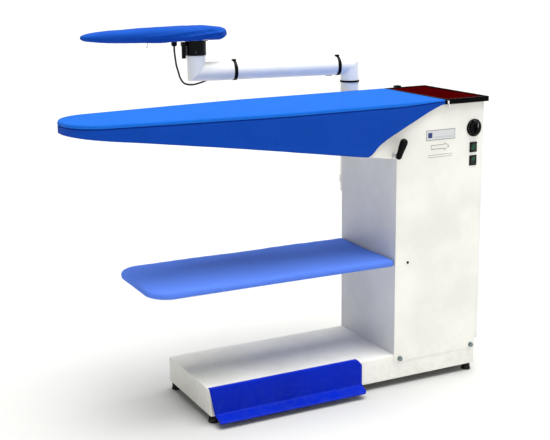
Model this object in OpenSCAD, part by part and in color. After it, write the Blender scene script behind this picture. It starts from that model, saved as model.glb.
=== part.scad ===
// Vacuum ironing table with a swinging sleeve board, a storage shelf and a foot pedal.
// Millimetres. +Z is up, the board's nose points to -X and the operator stands at -Y.
// The origin is on the floor, under the middle of the whole footprint.

/* [Ironing board] */
// Height of the ironing surface above the floor
work_h = 900; // [880:5:940]
// Length of the board from its nose to the iron rest
board_l = 1157; // [1100:1:1200]
// Full width of the board
board_w = 350; // [340:2:360]
// Half width of the board where its nose begins to round
nose_half_w = 110; // [95:1:120]
// Thickness of the felt pad with its cover
pad_t = 14; // [12:1:16]
// Height of the suction duct's floor where it meets the cabinet
duct_floor_h = 729; // [710:1:750]

/* [Cabinet] */
// Width of the cabinet without its side cover
cab_w = 311; // [300:1:320]
// Depth of the cabinet
cab_d = 325; // [320:1:330]
// Depth of the folded side cover
side_cover_t = 9; // [8:1:12]
// Length of the iron rest
rest_l = 163; // [150:1:170]

/* [Base] */
// Length of the base plinth
base_l = 941; // [900:1:960]
// Height of the plinth's top
base_top = 104; // [100:1:110]
// Gap between the floor and the plinth
floor_gap = 25; // [22:1:30]

/* [Shelf] */
// Height of the shelf's upper face
shelf_top = 414; // [380:1:460]
// Length of the shelf outside the cabinet
shelf_l = 793; // [700:1:800]

/* [Sleeve arm] */
// Outer diameter of the arm's pipe
pipe_d = 60; // [50:1:60]
// Height of the arm's horizontal pipe
arm_axis_h = 980; // [970:1:1000]
// Distance between the arm's two columns
arm_l = 520; // [480:1:540]
// Rest angle of the arm behind the line of the board, in degrees
arm_angle = 8.85; // [6:0.05:12]
// Length of the sleeve board
sleeve_l = 476; // [440:1:500]
// Width of the sleeve board
sleeve_w = 120; // [110:1:130]
// Thickness of the sleeve board in the middle
sleeve_t = 44; // [40:1:50]

/* [Hidden] */
$fn = 64;

white = [0.93, 0.925, 0.89];
blue = [0.1, 0.35, 0.85];
shelf_blue = [0.3, 0.45, 0.85];
pedal_blue = [0.02, 0.1, 0.65];
black = [0.06, 0.06, 0.065];
steel = [0.7, 0.71, 0.72];
dark_red = [0.42, 0.02, 0.02];
green = [0.02, 0.2, 0.1];

sheet = 1.5;                       // cabinet and duct sheet
plate = 2;                         // base sheet
run = 0.05;                        // radial clearance of a shaft that turns in its bore
eps = 1;                           // overshoot of a cutting tool

nose_x = -(board_l + rest_l) / 2;
board_end = nose_x + board_l;
cab_left = 330;
cab_right = cab_left + cab_w;
front = -230;                      // front face of the cabinet
back = front + cab_d;
mid_y = (front + back) / 2;
cab_top = work_h - pad_t - 2;      // top edge of the cabinet's panels, under the 2 mm perforated plate
panel_low = base_top - 25;         // the panels lap over the plinth
base_left = cab_right - base_l;
base_front = front + sheet;
base_back = back - sheet;
wing_l = 105;                      // length of the panels' wings that hold the duct

// Board outline: a superellipse nose, a gentle taper and straight sides, as a function of the
// distance from the tip of the nose. Negative steps run along the back edge.
nose_l = 110;
taper_l = 640;
nose_steps = 12;
taper_steps = 10;
last_step = nose_steps + taper_steps + 1;
function station(i) =
    i <= nose_steps ? nose_l * (1 - cos(i * 90 / nose_steps)) :
    i < last_step ? nose_l + (i - nose_steps) * (taper_l - nose_l) / taper_steps :
    board_l + (i - last_step) * 50;
function taper_half(s) =
    nose_half_w + (board_w / 2 - nose_half_w) * (1 - pow(max(0, 1 - s / taper_l), 1.15));
function half_width(s) = taper_half(s) * pow(1 - pow(max(0, 1 - s / nose_l), 2.3), 1 / 2.3);
function rim(i) =
    let(s = station(abs(i)))
    [nose_x + s, mid_y - sign(i) * half_width(s)];
function rim_normal(i) =
    let(d = rim(i + 1) - rim(i - 1))
    [d[1], -d[0]] / norm(d);
function rim_inset(i, inset) = rim(i) - inset * rim_normal(i);
function outline(inset, end_x) = [
    for (i = [-last_step:last_step])
        abs(i) == last_step ? [end_x, mid_y - sign(i) * (board_w / 2 - inset)] : rim_inset(i, inset)
];

duct_inset = 14.3;
duct_end = board_end - 2;
duct_tip_h = cab_top - 4;
duct_slope = (duct_tip_h - duct_floor_h) / (cab_left - nose_x);
function floor_h(x) = duct_floor_h + duct_slope * max(0, cab_left - x);

lever_x = 320;
lever_h = 742;
lever_r = 5;

fan_x = 430;
fan_low = 650;
fan_high = 727;

pedal_y = -150;
pedal_h = 70;
pedal_face = front - 12;
pedal_left = -310;
pedal_right = 205;
arm_left_x = -250;
arm_right_x = 150;

post_x = 385;
post_y = 140;
pipe_r = pipe_d / 2;
bore_r = pipe_r - 2;
post_top = 925;
ring_top = 931;
column_top = 1033;
tip_x = post_x - arm_l * cos(arm_angle);
tip_y = post_y + arm_l * sin(arm_angle);
branch_h = 790;

sleeve_x = -498;
sleeve_low = 1078;

shelf_low = shelf_top - 23;
dial_x = 613;
dial_h = 803;
switch_x = 612;
board_switch_h = 742;
arm_switch_h = 700;

// Route of the heater cable from the sleeve board's gland to its entry in the arm's pipe
cable_r = 3;
cable_sides = 8;
cable_points = [
    [-211, 195, 1066], [-211, 195, 1052], [-208, 197, 1030], [-203, 201, 1006], [-194, 208, 984],
    [-184, 217, 963], [-167, 225, 945.5], [-138, 231.5, 939.5], [-106, 233.5, 944.5], [-76.3, 232.1, 952],
    [-7.1, 221.3, 952], [91.7, 205.9, 952], [190.5, 190.5, 952], [269.5, 178.2, 952], [308.9, 172.1, 952]
];

// Box between two opposite corners
module block(low, high) {
    translate(low)
        cube(high - low);
}

// Outline in the XZ plane, extruded along Y
module side_plate(points, y0, y1) {
    translate([0, y1, 0])
        rotate([90, 0, 0])
            linear_extrude(y1 - y0)
                polygon(points);
}

// Outline in the YZ plane, extruded along X
module cross_bar(points, x0, x1) {
    translate([x0, 0, 0])
        rotate([90, 0, 90])
            linear_extrude(x1 - x0)
                polygon(points);
}

module rod_x(r, x0, x1, y, z) {
    translate([x0, y, z])
        rotate([0, 90, 0])
            cylinder(r = r, h = x1 - x0);
}

module rod_y(r, x, z, y0, y1) {
    translate([x, y1, z])
        rotate([90, 0, 0])
            cylinder(r = r, h = y1 - y0);
}

module rod_z(r, x, y, z0, z1) {
    translate([x, y, z0])
        cylinder(r = r, h = z1 - z0);
}

module board_prism(inset, z0, z1, end_x) {
    translate([0, 0, z0])
        linear_extrude(z1 - z0)
            polygon(outline(inset, end_x));
}

// Arm frame: X runs from the post to the tip, Z is measured from the floor
module in_arm_frame() {
    translate([post_x, post_y, 0])
        rotate([0, 0, 180 - arm_angle])
            children();
}

// ---- Base ----

module base_deck() {
    color(white)
        block([base_left, base_front, base_top - plate], [cab_right, base_back, base_top]);
}

module base_side_walls() {
    color(white) {
        difference() {
            block([base_left, base_front, floor_gap], [cab_right, base_front + plate, base_top - plate]);
            for (x = [arm_left_x, arm_right_x])
                block([x - 8, base_front - eps, 50], [x + 8, base_front + plate + eps, 88]);
            for (x = bolt_xs)
                rod_y(4.2, x, bolt_h, base_front - eps, base_front + plate + eps);
        }
        difference() {
            block([base_left, base_back - plate, floor_gap], [cab_right, base_back, base_top - plate]);
            for (x = bolt_xs)
                rod_y(4.2, x, bolt_h, base_back - plate - eps, base_back + eps);
        }
    }
}

module base_end_walls() {
    color(white)
        for (x = [base_left, cab_right - plate])
            block([x, base_front + plate, floor_gap], [x + plate, base_back - plate, base_top - plate]);
}

foot_bar_w = 36;
foot_xs = [base_left + 15, cab_right - 18];
foot_ys = [front + 20, back - 20];
ear_xs = [-222, 104];

module base_crossbars() {
    color(white) {
        for (i = [0, 1])
            difference() {
                x0 = i == 0 ? base_left + plate : cab_right - plate - foot_bar_w;
                block([x0, base_front + plate, 30], [x0 + foot_bar_w, base_back - plate, 34]);
                for (y = foot_ys)
                    rod_z(5.2, foot_xs[i], y, 29, 35);
            }
        for (x = ear_xs)
            difference() {
                union() {
                    block([x, base_front + plate, 92], [x + 30, base_back - plate, base_top - plate]);
                    block([x, pedal_y - 15, 55], [x + 6, pedal_y + 15, 92]);
                }
                rod_x(6 + run, x - eps, x + 7, pedal_y, pedal_h);
            }
    }
}

module foot_pads() {
    color(black)
        for (x = foot_xs, y = foot_ys)
            translate([x, y, 0])
                cylinder(r1 = 15, r2 = 13.5, h = 22);
}

module foot_studs() {
    color(steel)
        for (x = foot_xs, y = foot_ys)
            union() {
                rod_z(5, x, y, 22, 50);
                translate([x, y, 34])
                    cylinder(r = 9.2, h = 8, $fn = 6);
                translate([x, y, 24])
                    cylinder(r = 9.2, h = 6, $fn = 6);
            }
}

// ---- Cabinet ----

bolt_xs = [cab_left + 21, cab_left + 294];
bolt_h = 89;
panel_outline = [
    [cab_left, panel_low], [cab_right, panel_low], [cab_right, cab_top],
    [cab_left - wing_l, cab_top], [cab_left - wing_l, floor_h(cab_left - wing_l)],
    [cab_left, duct_floor_h]
];
shelf_screw_x = cab_left + 45;
shelf_screw_h = shelf_low + 9;
window_w = 11.2;
window_h = 14.7;

module cabinet_front() {
    color(white)
        difference() {
            side_plate(panel_outline, front, front + sheet);
            for (x = bolt_xs)
                rod_y(4.2, x, bolt_h, front - eps, front + sheet + eps);
            rod_y(5.2, dial_x, dial_h, front - eps, front + sheet + eps);
            rod_y(lever_r + run, lever_x, lever_h, front - eps, front + sheet + eps);
            rod_y(3.1, shelf_screw_x, shelf_screw_h, front - eps, front + sheet + eps);
            for (z = [board_switch_h, arm_switch_h])
                block([switch_x - window_w, front - eps, z - window_h],
                    [switch_x + window_w, front + sheet + eps, z + window_h]);
        }
}

grille_low = [440, 660];
grille_high = [488, 716];
gland_x = 600;
gland_h = 160;

module cabinet_back() {
    color(white)
        difference() {
            side_plate(panel_outline, back - sheet, back);
            for (x = bolt_xs)
                rod_y(4.2, x, bolt_h, back - sheet - eps, back + eps);
            rod_y(lever_r + run, lever_x, lever_h, back - sheet - eps, back + eps);
            rod_y(3.1, shelf_screw_x, shelf_screw_h, back - sheet - eps, back + eps);
            rod_y(8.1, gland_x, gland_h, back - sheet - eps, back + eps);
            rod_y(25.2, post_x, branch_h, back - sheet - eps, back + eps);
            block([grille_low[0], back - sheet - eps, grille_low[1]],
                [grille_high[0], back + eps, grille_high[1]]);
        }
}

tongue_ys = [-185, mid_y, 50];
tongue_w = 60;

module cabinet_left() {
    color(white)
        difference() {
            block([cab_left, base_front, base_top], [cab_left + sheet, base_back, duct_floor_h]);
            for (y = tongue_ys)
                block([cab_left - eps, y - tongue_w / 2 - 1, shelf_low + 1.5],
                    [cab_left + sheet + eps, y + tongue_w / 2 + 1, shelf_low + 5.5]);
        }
}

module side_cover() {
    color(white)
        difference() {
            block([cab_right, front, base_top + 5], [cab_right + side_cover_t, back, cab_top]);
            block([cab_right - eps, front + sheet, base_top + 5 + sheet],
                [cab_right + side_cover_t - sheet, back - sheet, cab_top - sheet]);
        }
}

module panel_bolts() {
    color(steel)
        for (x = bolt_xs) {
            hex_bolt(x, front, 1);
            hex_bolt(x, back, -1);
        }
}

// M8 bolt through the panel at y and the plinth's wall behind it
module hex_bolt(x, y, inward) {
    translate([x, y, bolt_h])
        rotate([inward * 90, 0, 0]) {
            cylinder(r = 8, h = 1.6);
            translate([0, 0, 1.6])
                cylinder(r = 7.5, h = 5.3, $fn = 6);
            translate([0, 0, -18])
                cylinder(r = 4, h = 18.5);
            translate([0, 0, -10])
                cylinder(r = 7.5, h = 6.5, $fn = 6);
        }
}

// Pan-head screw standing on a panel's face
module pan_screw(r) {
    cylinder(r1 = r, r2 = r * 0.75, h = r * 0.55);
}

module cover_screws() {
    color(steel)
        for (y = [front + 15, back - 15], z = [base_top + 30, 500, cab_top - 20])
            translate([cab_right + side_cover_t, y, z])
                rotate([0, 90, 0])
                    pan_screw(5);
}

module shelf_screws() {
    color(black)
        for (side = [-1, 1])
            translate([shelf_screw_x, mid_y + side * cab_d / 2, shelf_screw_h])
                rotate([-side * 90, 0, 0]) {
                    pan_screw(4.5);
                    translate([0, 0, -12])
                        cylinder(r = 3, h = 12.5);
                }
}

// ---- Shelf ----

shelf_end = cab_left - shelf_l;
shelf_y0 = front + 4;
shelf_y1 = back - 4;
shelf_corner = 70;

// Shelf outline with two round corners at its free end, drawn inset from its edge
module shelf_shape(inset, x_end) {
    x0 = shelf_end + inset;
    y0 = shelf_y0 + inset;
    y1 = shelf_y1 - inset;
    r = shelf_corner - inset;
    translate([x0 + r, y0])
        square([x_end - x0 - r, y1 - y0]);
    translate([x0, y0 + r])
        square([r + 1, y1 - y0 - 2 * r]);
    translate([x0 + r, y0 + r])
        circle(r = r);
    translate([x0 + r, y1 - r])
        circle(r = r);
}

module shelf_frame() {
    color(white)
        difference() {
            union() {
                translate([0, 0, shelf_low + 2])
                    linear_extrude(3)
                        shelf_shape(10.3, cab_left - 0.3);
                for (y = tongue_ys)
                    block([cab_left - eps, y - tongue_w / 2, shelf_low + 2],
                        [cab_left + 90, y + tongue_w / 2, shelf_low + 5]);
                for (y = [shelf_y0 + 40, shelf_y1 - 60])
                    block([shelf_end + 60, y, shelf_low - 8], [cab_left - 6, y + 20, shelf_low + 2]);
            }
            for (y = [shelf_y0 + 42, shelf_y1 - 58])
                block([shelf_end + 59, y, shelf_low - 6], [cab_left - 5, y + 16, shelf_low + 0.5]);
        }
}

module shelf_pad() {
    color(shelf_blue)
        difference() {
            translate([0, 0, shelf_low])
                linear_extrude(shelf_top - shelf_low)
                    shelf_shape(0, cab_left - 0.3);
            translate([0, 0, shelf_low - eps])
                linear_extrude(6.3)
                    shelf_shape(10, cab_left + eps);
        }
}

// Angle brackets that hang the shelf's tongues between the front and back panels
module shelf_brackets() {
    color(white)
        for (side = [-1, 1]) {
            face = mid_y + side * (cab_d / 2 - sheet);
            difference() {
                union() {
                    block([cab_left + 25, min(face, face - side * 32), shelf_low - 1],
                        [cab_left + 70, max(face, face - side * 32), shelf_low + 1.8]);
                    block([cab_left + 25, min(face, face - side * 3), shelf_low + 1.8],
                        [cab_left + 70, max(face, face - side * 3), shelf_low + 22]);
                }
                rod_y(3.1, shelf_screw_x, shelf_screw_h, face - 4, face + 4);
            }
        }
}

// ---- Suction duct and board ----

// Space above the duct's sloping floor, lifted by a sheet's thickness
module above_floor(lift, top) {
    side_plate([
        [nose_x - eps, floor_h(nose_x) + lift], [cab_left, duct_floor_h + lift],
        [board_end + eps, duct_floor_h + lift], [board_end + eps, top], [nose_x - eps, top]
    ], mid_y - board_w, mid_y + board_w);
}

module duct_floor() {
    color(white)
        difference() {
            union() {
                intersection() {
                    board_prism(duct_inset + sheet, duct_floor_h - eps, cab_top, duct_end);
                    difference() {
                        above_floor(0, cab_top);
                        above_floor(sheet, cab_top + eps);
                    }
                }
                block([duct_end - sheet, mid_y - board_w / 2 + duct_inset + sheet, duct_floor_h],
                    [duct_end, mid_y + board_w / 2 - duct_inset - sheet, cab_top]);
            }
            rod_z(48.2, fan_x, mid_y, duct_floor_h - eps, duct_floor_h + 3);
        }
}

// One side of the duct's wall: side is -1 at the front and 1 at the back
module duct_wall(side) {
    difference() {
        intersection() {
            difference() {
                board_prism(duct_inset, duct_floor_h - eps, cab_top, duct_end);
                board_prism(duct_inset + sheet, duct_floor_h - 2, cab_top + eps, duct_end + eps);
            }
            above_floor(0, cab_top);
            translate([nose_x, side < 0 ? mid_y - board_w : mid_y, 0])
                cube([board_l, board_w, work_h]);
        }
        rod_y(lever_r + run, lever_x, lever_h, mid_y - board_w, mid_y + board_w);
        if (side > 0)
            rod_y(25.2, post_x, branch_h, mid_y, mid_y + board_w);
    }
}

module duct_front_wall() {
    color(white)
        duct_wall(-1);
}

module duct_back_wall() {
    color(white)
        duct_wall(1);
}

hole_pitch = 70;
plate_inset = 8;

module perforated_plate() {
    color(steel)
        difference() {
            board_prism(plate_inset, cab_top, cab_top + 2, duct_end);
            for (x = [nose_x + 80:hole_pitch:duct_end - 20], row = [-2:2])
                if (abs(row) * 60 < half_width(x - nose_x) - 30)
                    rod_z(3, x, mid_y + row * 60, cab_top - eps, cab_top + 3);
        }
}

element_r = 3;
element_x0 = nose_x + 200;
element_x1 = duct_end - 60;
element_pitch = 50;

// Serpentine heating element clamped under the perforated plate
module heating_element() {
    z = cab_top - element_r;
    color(steel)
        union() {
            for (row = [-1.5, -0.5, 0.5, 1.5])
                rod_x(element_r, element_x0, element_x1, mid_y + row * element_pitch, z);
            for (turn = [[-1, element_x0, 90], [0, element_x1, -90], [1, element_x0, 90]])
                translate([turn[1], mid_y + turn[0] * element_pitch, z])
                    rotate([0, 0, turn[2]])
                        rotate_extrude(angle = 180)
                            translate([element_pitch / 2, 0])
                                circle(r = element_r);
        }
}

module board_pad() {
    color("wheat")
        board_prism(2, cab_top + 2, work_h - 1.8, duct_end);
}

// Fitted cover: a top sheet with a skirt over the duct, cut back in a curve at the cabinet
module board_cover() {
    skirt = [
        [nose_x - eps, work_h + eps], [board_end, work_h + eps], [board_end, cab_top + 2],
        [cab_left + 154, cab_top + 2], [cab_left + 102, 865], [cab_left + 34, 832],
        [cab_left - 33, 800], [cab_left - 73, 776], [cab_left - 100, floor_h(cab_left - 100)],
        [nose_x - eps, floor_h(nose_x)]
    ];
    color(blue)
        intersection() {
            difference() {
                board_prism(0, duct_floor_h - eps, work_h, board_end);
                board_prism(sheet, duct_floor_h - 2, work_h - sheet, board_end - sheet);
            }
            side_plate(skirt, mid_y - board_w, mid_y + board_w);
        }
}

// ---- Iron rest ----

rest_x0 = board_end + 0.5;
rest_x1 = board_end + rest_l;
rest_y0 = front - 11;
rest_y1 = back + 10;

module iron_rest() {
    color(black)
        difference() {
            block([rest_x0, rest_y0, cab_top], [rest_x1, rest_y1, work_h]);
            block([rest_x0 + 9, rest_y0 + 9, work_h - 7], [rest_x1 - 9, rest_y1 - 9, work_h + eps]);
        }
}

module rest_mat() {
    color(dark_red)
        union() {
            block([rest_x0 + 10, rest_y0 + 10, work_h - 7], [rest_x1 - 10, rest_y1 - 10, work_h - 3]);
            for (i = [0:6])
                block([rest_x0 + 16 + i * 20, rest_y0 + 18, work_h - 3],
                    [rest_x0 + 24 + i * 20, rest_y1 - 18, work_h - 1.5]);
        }
}

// Sprung hook that holds the end of the cover's drawcord
module rest_clip() {
    x = rest_x0 + 6;
    color(steel)
        union() {
            block([x, rest_y0 - 1.5, work_h - 22], [x + 6, rest_y0, work_h - 4]);
            block([x, rest_y0 - 6, work_h - 22], [x + 6, rest_y0 - 1.5, work_h - 20.5]);
            block([x, rest_y0 - 6, work_h - 20.5], [x + 6, rest_y0 - 4.5, work_h - 14]);
        }
}

socket_x = 556;
socket_y = rest_y1 + 11;

// Upright socket for the rod that carries the iron's lead
module lead_socket() {
    color(black)
        difference() {
            block([socket_x - 9, rest_y1, work_h - 26], [socket_x + 9, rest_y1 + 20, work_h + 4]);
            rod_z(6, socket_x, socket_y, work_h - 21, work_h + 5);
        }
}

// ---- Front controls ----

module nameplate() {
    color(steel)
        block([cab_left + 105, front - 1, 776], [cab_left + 212, front, 807]);
}

module dial_plate() {
    color(black)
        difference() {
            union() {
                rod_y(27.5, dial_x, dial_h, front - 3, front);
                rod_y(24, dial_x, dial_h, front - 4, front - 3);
            }
            rod_y(3.3, dial_x, dial_h, front - 5, front + eps);
        }
}

module thermostat() {
    color(steel)
        difference() {
            union() {
                block([dial_x - 22, front + sheet, dial_h - 22], [dial_x + 22, front + 30, dial_h + 22]);
                rod_y(5, dial_x, dial_h, front, front + sheet);
            }
            rod_y(3 + run, dial_x, dial_h, front - eps, front + 16);
        }
}

module thermostat_knob() {
    color(black)
        union() {
            rod_y(20, dial_x, dial_h, front - 10, front - 4.3);
            rod_y(18, dial_x, dial_h, front - 12, front - 10);
            block([dial_x - 4, front - 22, dial_h - 17], [dial_x + 4, front - 12, dial_h + 17]);
            rod_y(3, dial_x, dial_h, front - 4.3, front + 14);
        }
}

rocker_w = 9.8;
rocker_r = 13.2;
rocker_tilt = 8;
rocker_axis_y = front + 1;

module switch_frames() {
    color(black)
        for (z = [board_switch_h, arm_switch_h])
            difference() {
                union() {
                    block([switch_x - 13.5, front - 2.5, z - 16], [switch_x + 13.5, front, z + 16]);
                    block([switch_x - 11, front, z - 14.5], [switch_x + 11, front + 24, z + 14.5]);
                }
                block([switch_x - 10, front - 3, z - 13.5], [switch_x + 10, front + 18, z + 13.5]);
            }
}

// Rocker resting on its lower end; it turns about its own middle
module rocker(z) {
    translate([switch_x, rocker_axis_y, z])
        rotate([rocker_tilt, 0, 0])
            intersection() {
                rod_x(rocker_r, -rocker_w, rocker_w, 0, 0);
                cross_bar([
                    [-3.8, 0], [-3.8 - 14 * tan(rocker_tilt), 14], [14, 14],
                    [14, -14], [-3.8 - 14 * tan(rocker_tilt), -14]
                ], -rocker_w, rocker_w);
            }
}

module board_switch() {
    color(green)
        rocker(board_switch_h);
}

module arm_switch() {
    color(green)
        rocker(arm_switch_h);
}

// ---- Suction valve ----

flap_l = 126;
flap_half_w = board_w / 2 - duct_inset - sheet - 2;

// Flap welded to its shaft; it lies along the duct's floor and stands up to close the duct
module valve_flap() {
    color(steel)
        union() {
            rod_y(lever_r, lever_x, lever_h, front - 26, back + 6);
            translate([lever_x, mid_y, lever_h])
                rotate([0, atan(duct_slope), 0])
                    block([-flap_l, -flap_half_w, -1], [0, flap_half_w, 1]);
            rod_y(8, lever_x, lever_h, front - 4, front - 1);
            rod_y(8, lever_x, lever_h, back + 1, back + 4);
        }
}

grip_tilt = 22;
grip_l = 56;

// Tapered handle on the end of the valve's shaft
module lever_grip() {
    color(black)
        difference() {
            translate([lever_x, front - 26, lever_h])
                rotate([0, grip_tilt, 0])
                    hull() {
                        sphere(r = 9, $fn = 32);
                        translate([0, 0, grip_l - 11])
                            sphere(r = 11, $fn = 32);
                    }
            rod_y(lever_r + run, lever_x, lever_h, front - 26, front - 14);
        }
}

// ---- Fan and electrics in the cabinet ----

module fan_housing() {
    color(steel)
        difference() {
            union() {
                rod_z(65, fan_x, mid_y, fan_low, fan_high);
                rod_z(48, fan_x, mid_y, fan_high, duct_floor_h + 2);
                block([fan_x + 6, mid_y, fan_low + 5], [fan_x + 63, base_back, fan_high - 5]);
            }
            rod_z(63, fan_x, mid_y, fan_low + 2, fan_high - 2);
            rod_z(46, fan_x, mid_y, fan_high - 3, duct_floor_h + 3);
            rod_z(8, fan_x, mid_y, fan_low - eps, fan_low + 3);
            block([fan_x + 8, mid_y, fan_low + 7], [fan_x + 61, base_back + eps, fan_high - 7]);
        }
}

module fan_motor() {
    color(black)
        difference() {
            union() {
                rod_z(60, fan_x, mid_y, fan_low - 4, fan_low);
                rod_z(45, fan_x, mid_y, 545, fan_low - 4);
            }
            rod_z(5 + run, fan_x, mid_y, 590, fan_low + eps);
        }
}

module impeller() {
    color(steel)
        union() {
            rod_z(5, fan_x, mid_y, 592, 662);
            rod_z(14, fan_x, mid_y, 659, 682);
            rod_z(52, fan_x, mid_y, 656, 659);
            for (i = [0:11])
                translate([fan_x, mid_y, 659])
                    rotate([0, 0, i * 30])
                        translate([24, 0, 0])
                            rotate([0, 0, 35])
                                translate([0, -1, 0])
                                    cube([26, 2, 43]);
            difference() {
                rod_z(52, fan_x, mid_y, 701, 703);
                rod_z(36, fan_x, mid_y, 700, 704);
            }
        }
}

module fan_bracket() {
    color(white)
        union() {
            block([cab_left + sheet, base_front, 541], [cab_left + 180, base_back, 545]);
            block([cab_left + sheet, mid_y - 40, 500], [cab_left + sheet + 4, mid_y + 40, 541]);
        }
}

module exhaust_grille() {
    x0 = grille_low[0] - 8;
    x1 = grille_high[0] + 8;
    color(black)
        difference() {
            block([x0, back, grille_low[1] - 8], [x1, back + 2, grille_high[1] + 8]);
            for (i = [0:5])
                block([x0 + 8, back - eps, grille_low[1] + 1 + i * 9.5],
                    [x1 - 8, back + 3, grille_low[1] + 6 + i * 9.5]);
        }
}

module control_box() {
    color(black)
        difference() {
            block([520, base_back - 60, 300], [630, base_back, 440]);
            block([522, base_back - 61, 302], [628, base_back - 2, 438]);
        }
}

module pedal_microswitch() {
    color(black)
        union() {
            block([arm_right_x - 14, pedal_y + 24, 84], [arm_right_x + 14, pedal_y + 40, base_top - plate]);
            rod_z(1.5, arm_right_x, pedal_y + 32, 83.2, 85);
        }
}

// Cable gland for the mains lead in the back panel
module mains_gland() {
    color(black)
        difference() {
            union() {
                rod_y(8, gland_x, gland_h, back - 10, back);
                translate([gland_x, back + 6, gland_h])
                    rotate([90, 0, 0])
                        cylinder(r = 12, h = 6, $fn = 6);
                rod_y(9.5, gland_x, gland_h, back + 6, back + 16);
                translate([gland_x, back - sheet, gland_h])
                    rotate([90, 0, 0])
                        cylinder(r = 12, h = 5, $fn = 6);
            }
            rod_y(4, gland_x, gland_h, back - 11, back + 17);
        }
}

// ---- Foot pedal ----

module foot_pedal() {
    face_back = pedal_face + plate;
    color(pedal_blue)
        difference() {
            cross_bar([
                [face_back + 7, 118], [pedal_face, 118], [pedal_face, 34], [front - 50, 20],
                [front - 50, 18], [face_back, 32.8], [face_back, 116], [face_back + 7, 116]
            ], pedal_left, pedal_right);
            side_plate([
                [pedal_left - eps, 119], [pedal_left, 119], [pedal_left + 20, 16], [pedal_left - eps, 16]
            ], front - 60, front);
            side_plate([
                [pedal_right - 20, 119], [pedal_right + eps, 119], [pedal_right + eps, 104],
                [pedal_right, 104]
            ], front - 60, front);
            translate([0, 0, 10])
                linear_extrude(30)
                    polygon([
                        [pedal_right - 10, front - 51], [pedal_right + eps, front - 51],
                        [pedal_right + eps, front - 38]
                    ]);
        }
}

module pedal_arms() {
    face_back = pedal_face + plate;
    color(steel)
        for (x = [arm_left_x, arm_right_x])
            difference() {
                union() {
                    block([x - 2.5, face_back, pedal_h - 10], [x + 2.5, pedal_y + 40, pedal_h + 10]);
                    block([x - 2.5, face_back, 54], [x + 2.5, face_back + 5, 100]);
                    block([x - 10, face_back, 54], [x + 10, face_back + 3, 84]);
                    rod_x(13, x - 8, x + 8, pedal_y, pedal_h);
                }
                rod_x(6 + run, x - 9, x + 9, pedal_y, pedal_h);
            }
}

module pedal_shaft() {
    color(steel)
        rod_x(6, arm_left_x - 14, arm_right_x + 14, pedal_y, pedal_h);
}

spring_y = pedal_y + 32;
spring_turns = 5;
spring_r = 6.5;
spring_wire = 0.9;
spring_low = 80;
spring_steps = 16;

// Compression spring between the left pedal arm and the deck
module pedal_spring() {
    rise = base_top - plate - spring_low - 2 * spring_wire;
    count = spring_turns * spring_steps;
    ring = [for (i = [0:count])
        let(a = i * 360 / spring_steps)
        [arm_left_x + spring_r * cos(a), spring_y + spring_r * sin(a),
            spring_low + spring_wire + rise * i / count]];
    color(steel)
        swept_tube(ring, spring_wire, 6);
}

// Tube of the given radius and number of sides along a list of points
module swept_tube(path, r, sides) {
    n = len(path);
    along = [for (i = [0:n - 1])
        let(d = path[min(i + 1, n - 1)] - path[max(i - 1, 0)])
        d / norm(d)];
    rings = [for (i = [0:n - 1])
        let(t = along[i],
            side = cross(t, abs(t[2]) > 0.9 ? [0, 1, 0] : [0, 0, 1]),
            u = side / norm(side),
            v = cross(t, u))
        [for (k = [0:sides - 1])
            path[i] + r * (u * cos(k * 360 / sides) + v * sin(k * 360 / sides))]];
    points = [for (ring = rings, p = ring) p];
    walls = [for (i = [0:n - 2], k = [0:sides - 1])
        let(a = i * sides, b = a + sides, j = (k + 1) % sides)
        [a + k, b + k, b + j, a + j]];
    start = [for (k = [0:sides - 1]) k];
    end = [for (k = [sides - 1:-1:0]) (n - 1) * sides + k];
    polyhedron(points = points, faces = concat(walls, [start], [end]), convexity = 10);
}

// ---- Sleeve arm ----

module arm_post() {
    color(white)
        difference() {
            union() {
                rod_z(pipe_r, post_x, post_y, 560, post_top);
                rod_y(25, post_x, branch_h, back - 8, post_y);
            }
            rod_z(bore_r, post_x, post_y, 562, post_top + eps);
            rod_y(23, post_x, branch_h, back - 9, post_y);
        }
}

module post_clamps() {
    color(white)
        for (z = [600, 700])
            difference() {
                union() {
                    block([post_x - 29, back, z - 12], [post_x + 29, post_y, z + 12]);
                    rod_z(pipe_r + 2.5, post_x, post_y, z - 12, z + 12);
                }
                rod_z(pipe_r + 0.1, post_x, post_y, z - 13, z + 13);
                block([post_x - 24, back - eps, z - 7], [post_x + 24, back + 8, z + 7]);
            }
}

module swivel_ring() {
    color(black)
        difference() {
            rod_z(pipe_r + 2, post_x, post_y, post_top, ring_top);
            rod_z(bore_r + 0.1, post_x, post_y, post_top - eps, ring_top + eps);
        }
}

// Two mitred elbows and the pipe between them, as a solid of radius r
module mitred_run(r, low, high) {
    far = 2 * pipe_d;
    h = arm_axis_h;
    union() {
        intersection() {
            rod_z(r, 0, 0, low, h + pipe_d);
            side_plate([[-far, h + far], [-far, low], [far, low], [far, h - far]], -far, far);
        }
        intersection() {
            rod_x(r, -pipe_d, arm_l + pipe_d, 0, h);
            side_plate([
                [-far, h + far], [far, h - far], [arm_l + far, h - far], [arm_l - far, h + far]
            ], -far, far);
        }
        intersection() {
            rod_z(r, arm_l, 0, h - pipe_d, high);
            side_plate([
                [arm_l - far, h + far], [arm_l + far, h - far], [arm_l + far, high], [arm_l - far, high]
            ], -far, far);
        }
    }
}

module arm_pipe() {
    low = ring_top + 0.3;
    color(white)
        in_arm_frame()
            difference() {
                union() {
                    mitred_run(pipe_r, low, column_top);
                    rod_z(bore_r - run, 0, 0, 875, low + eps);
                }
                mitred_run(bore_r, low + 6, column_top + eps);
                rod_z(bore_r - 3, 0, 0, 874, low + 7);
            }
}

clip_ts = [45, 396];
cable_back = 20;
cable_drop = 28;

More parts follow.
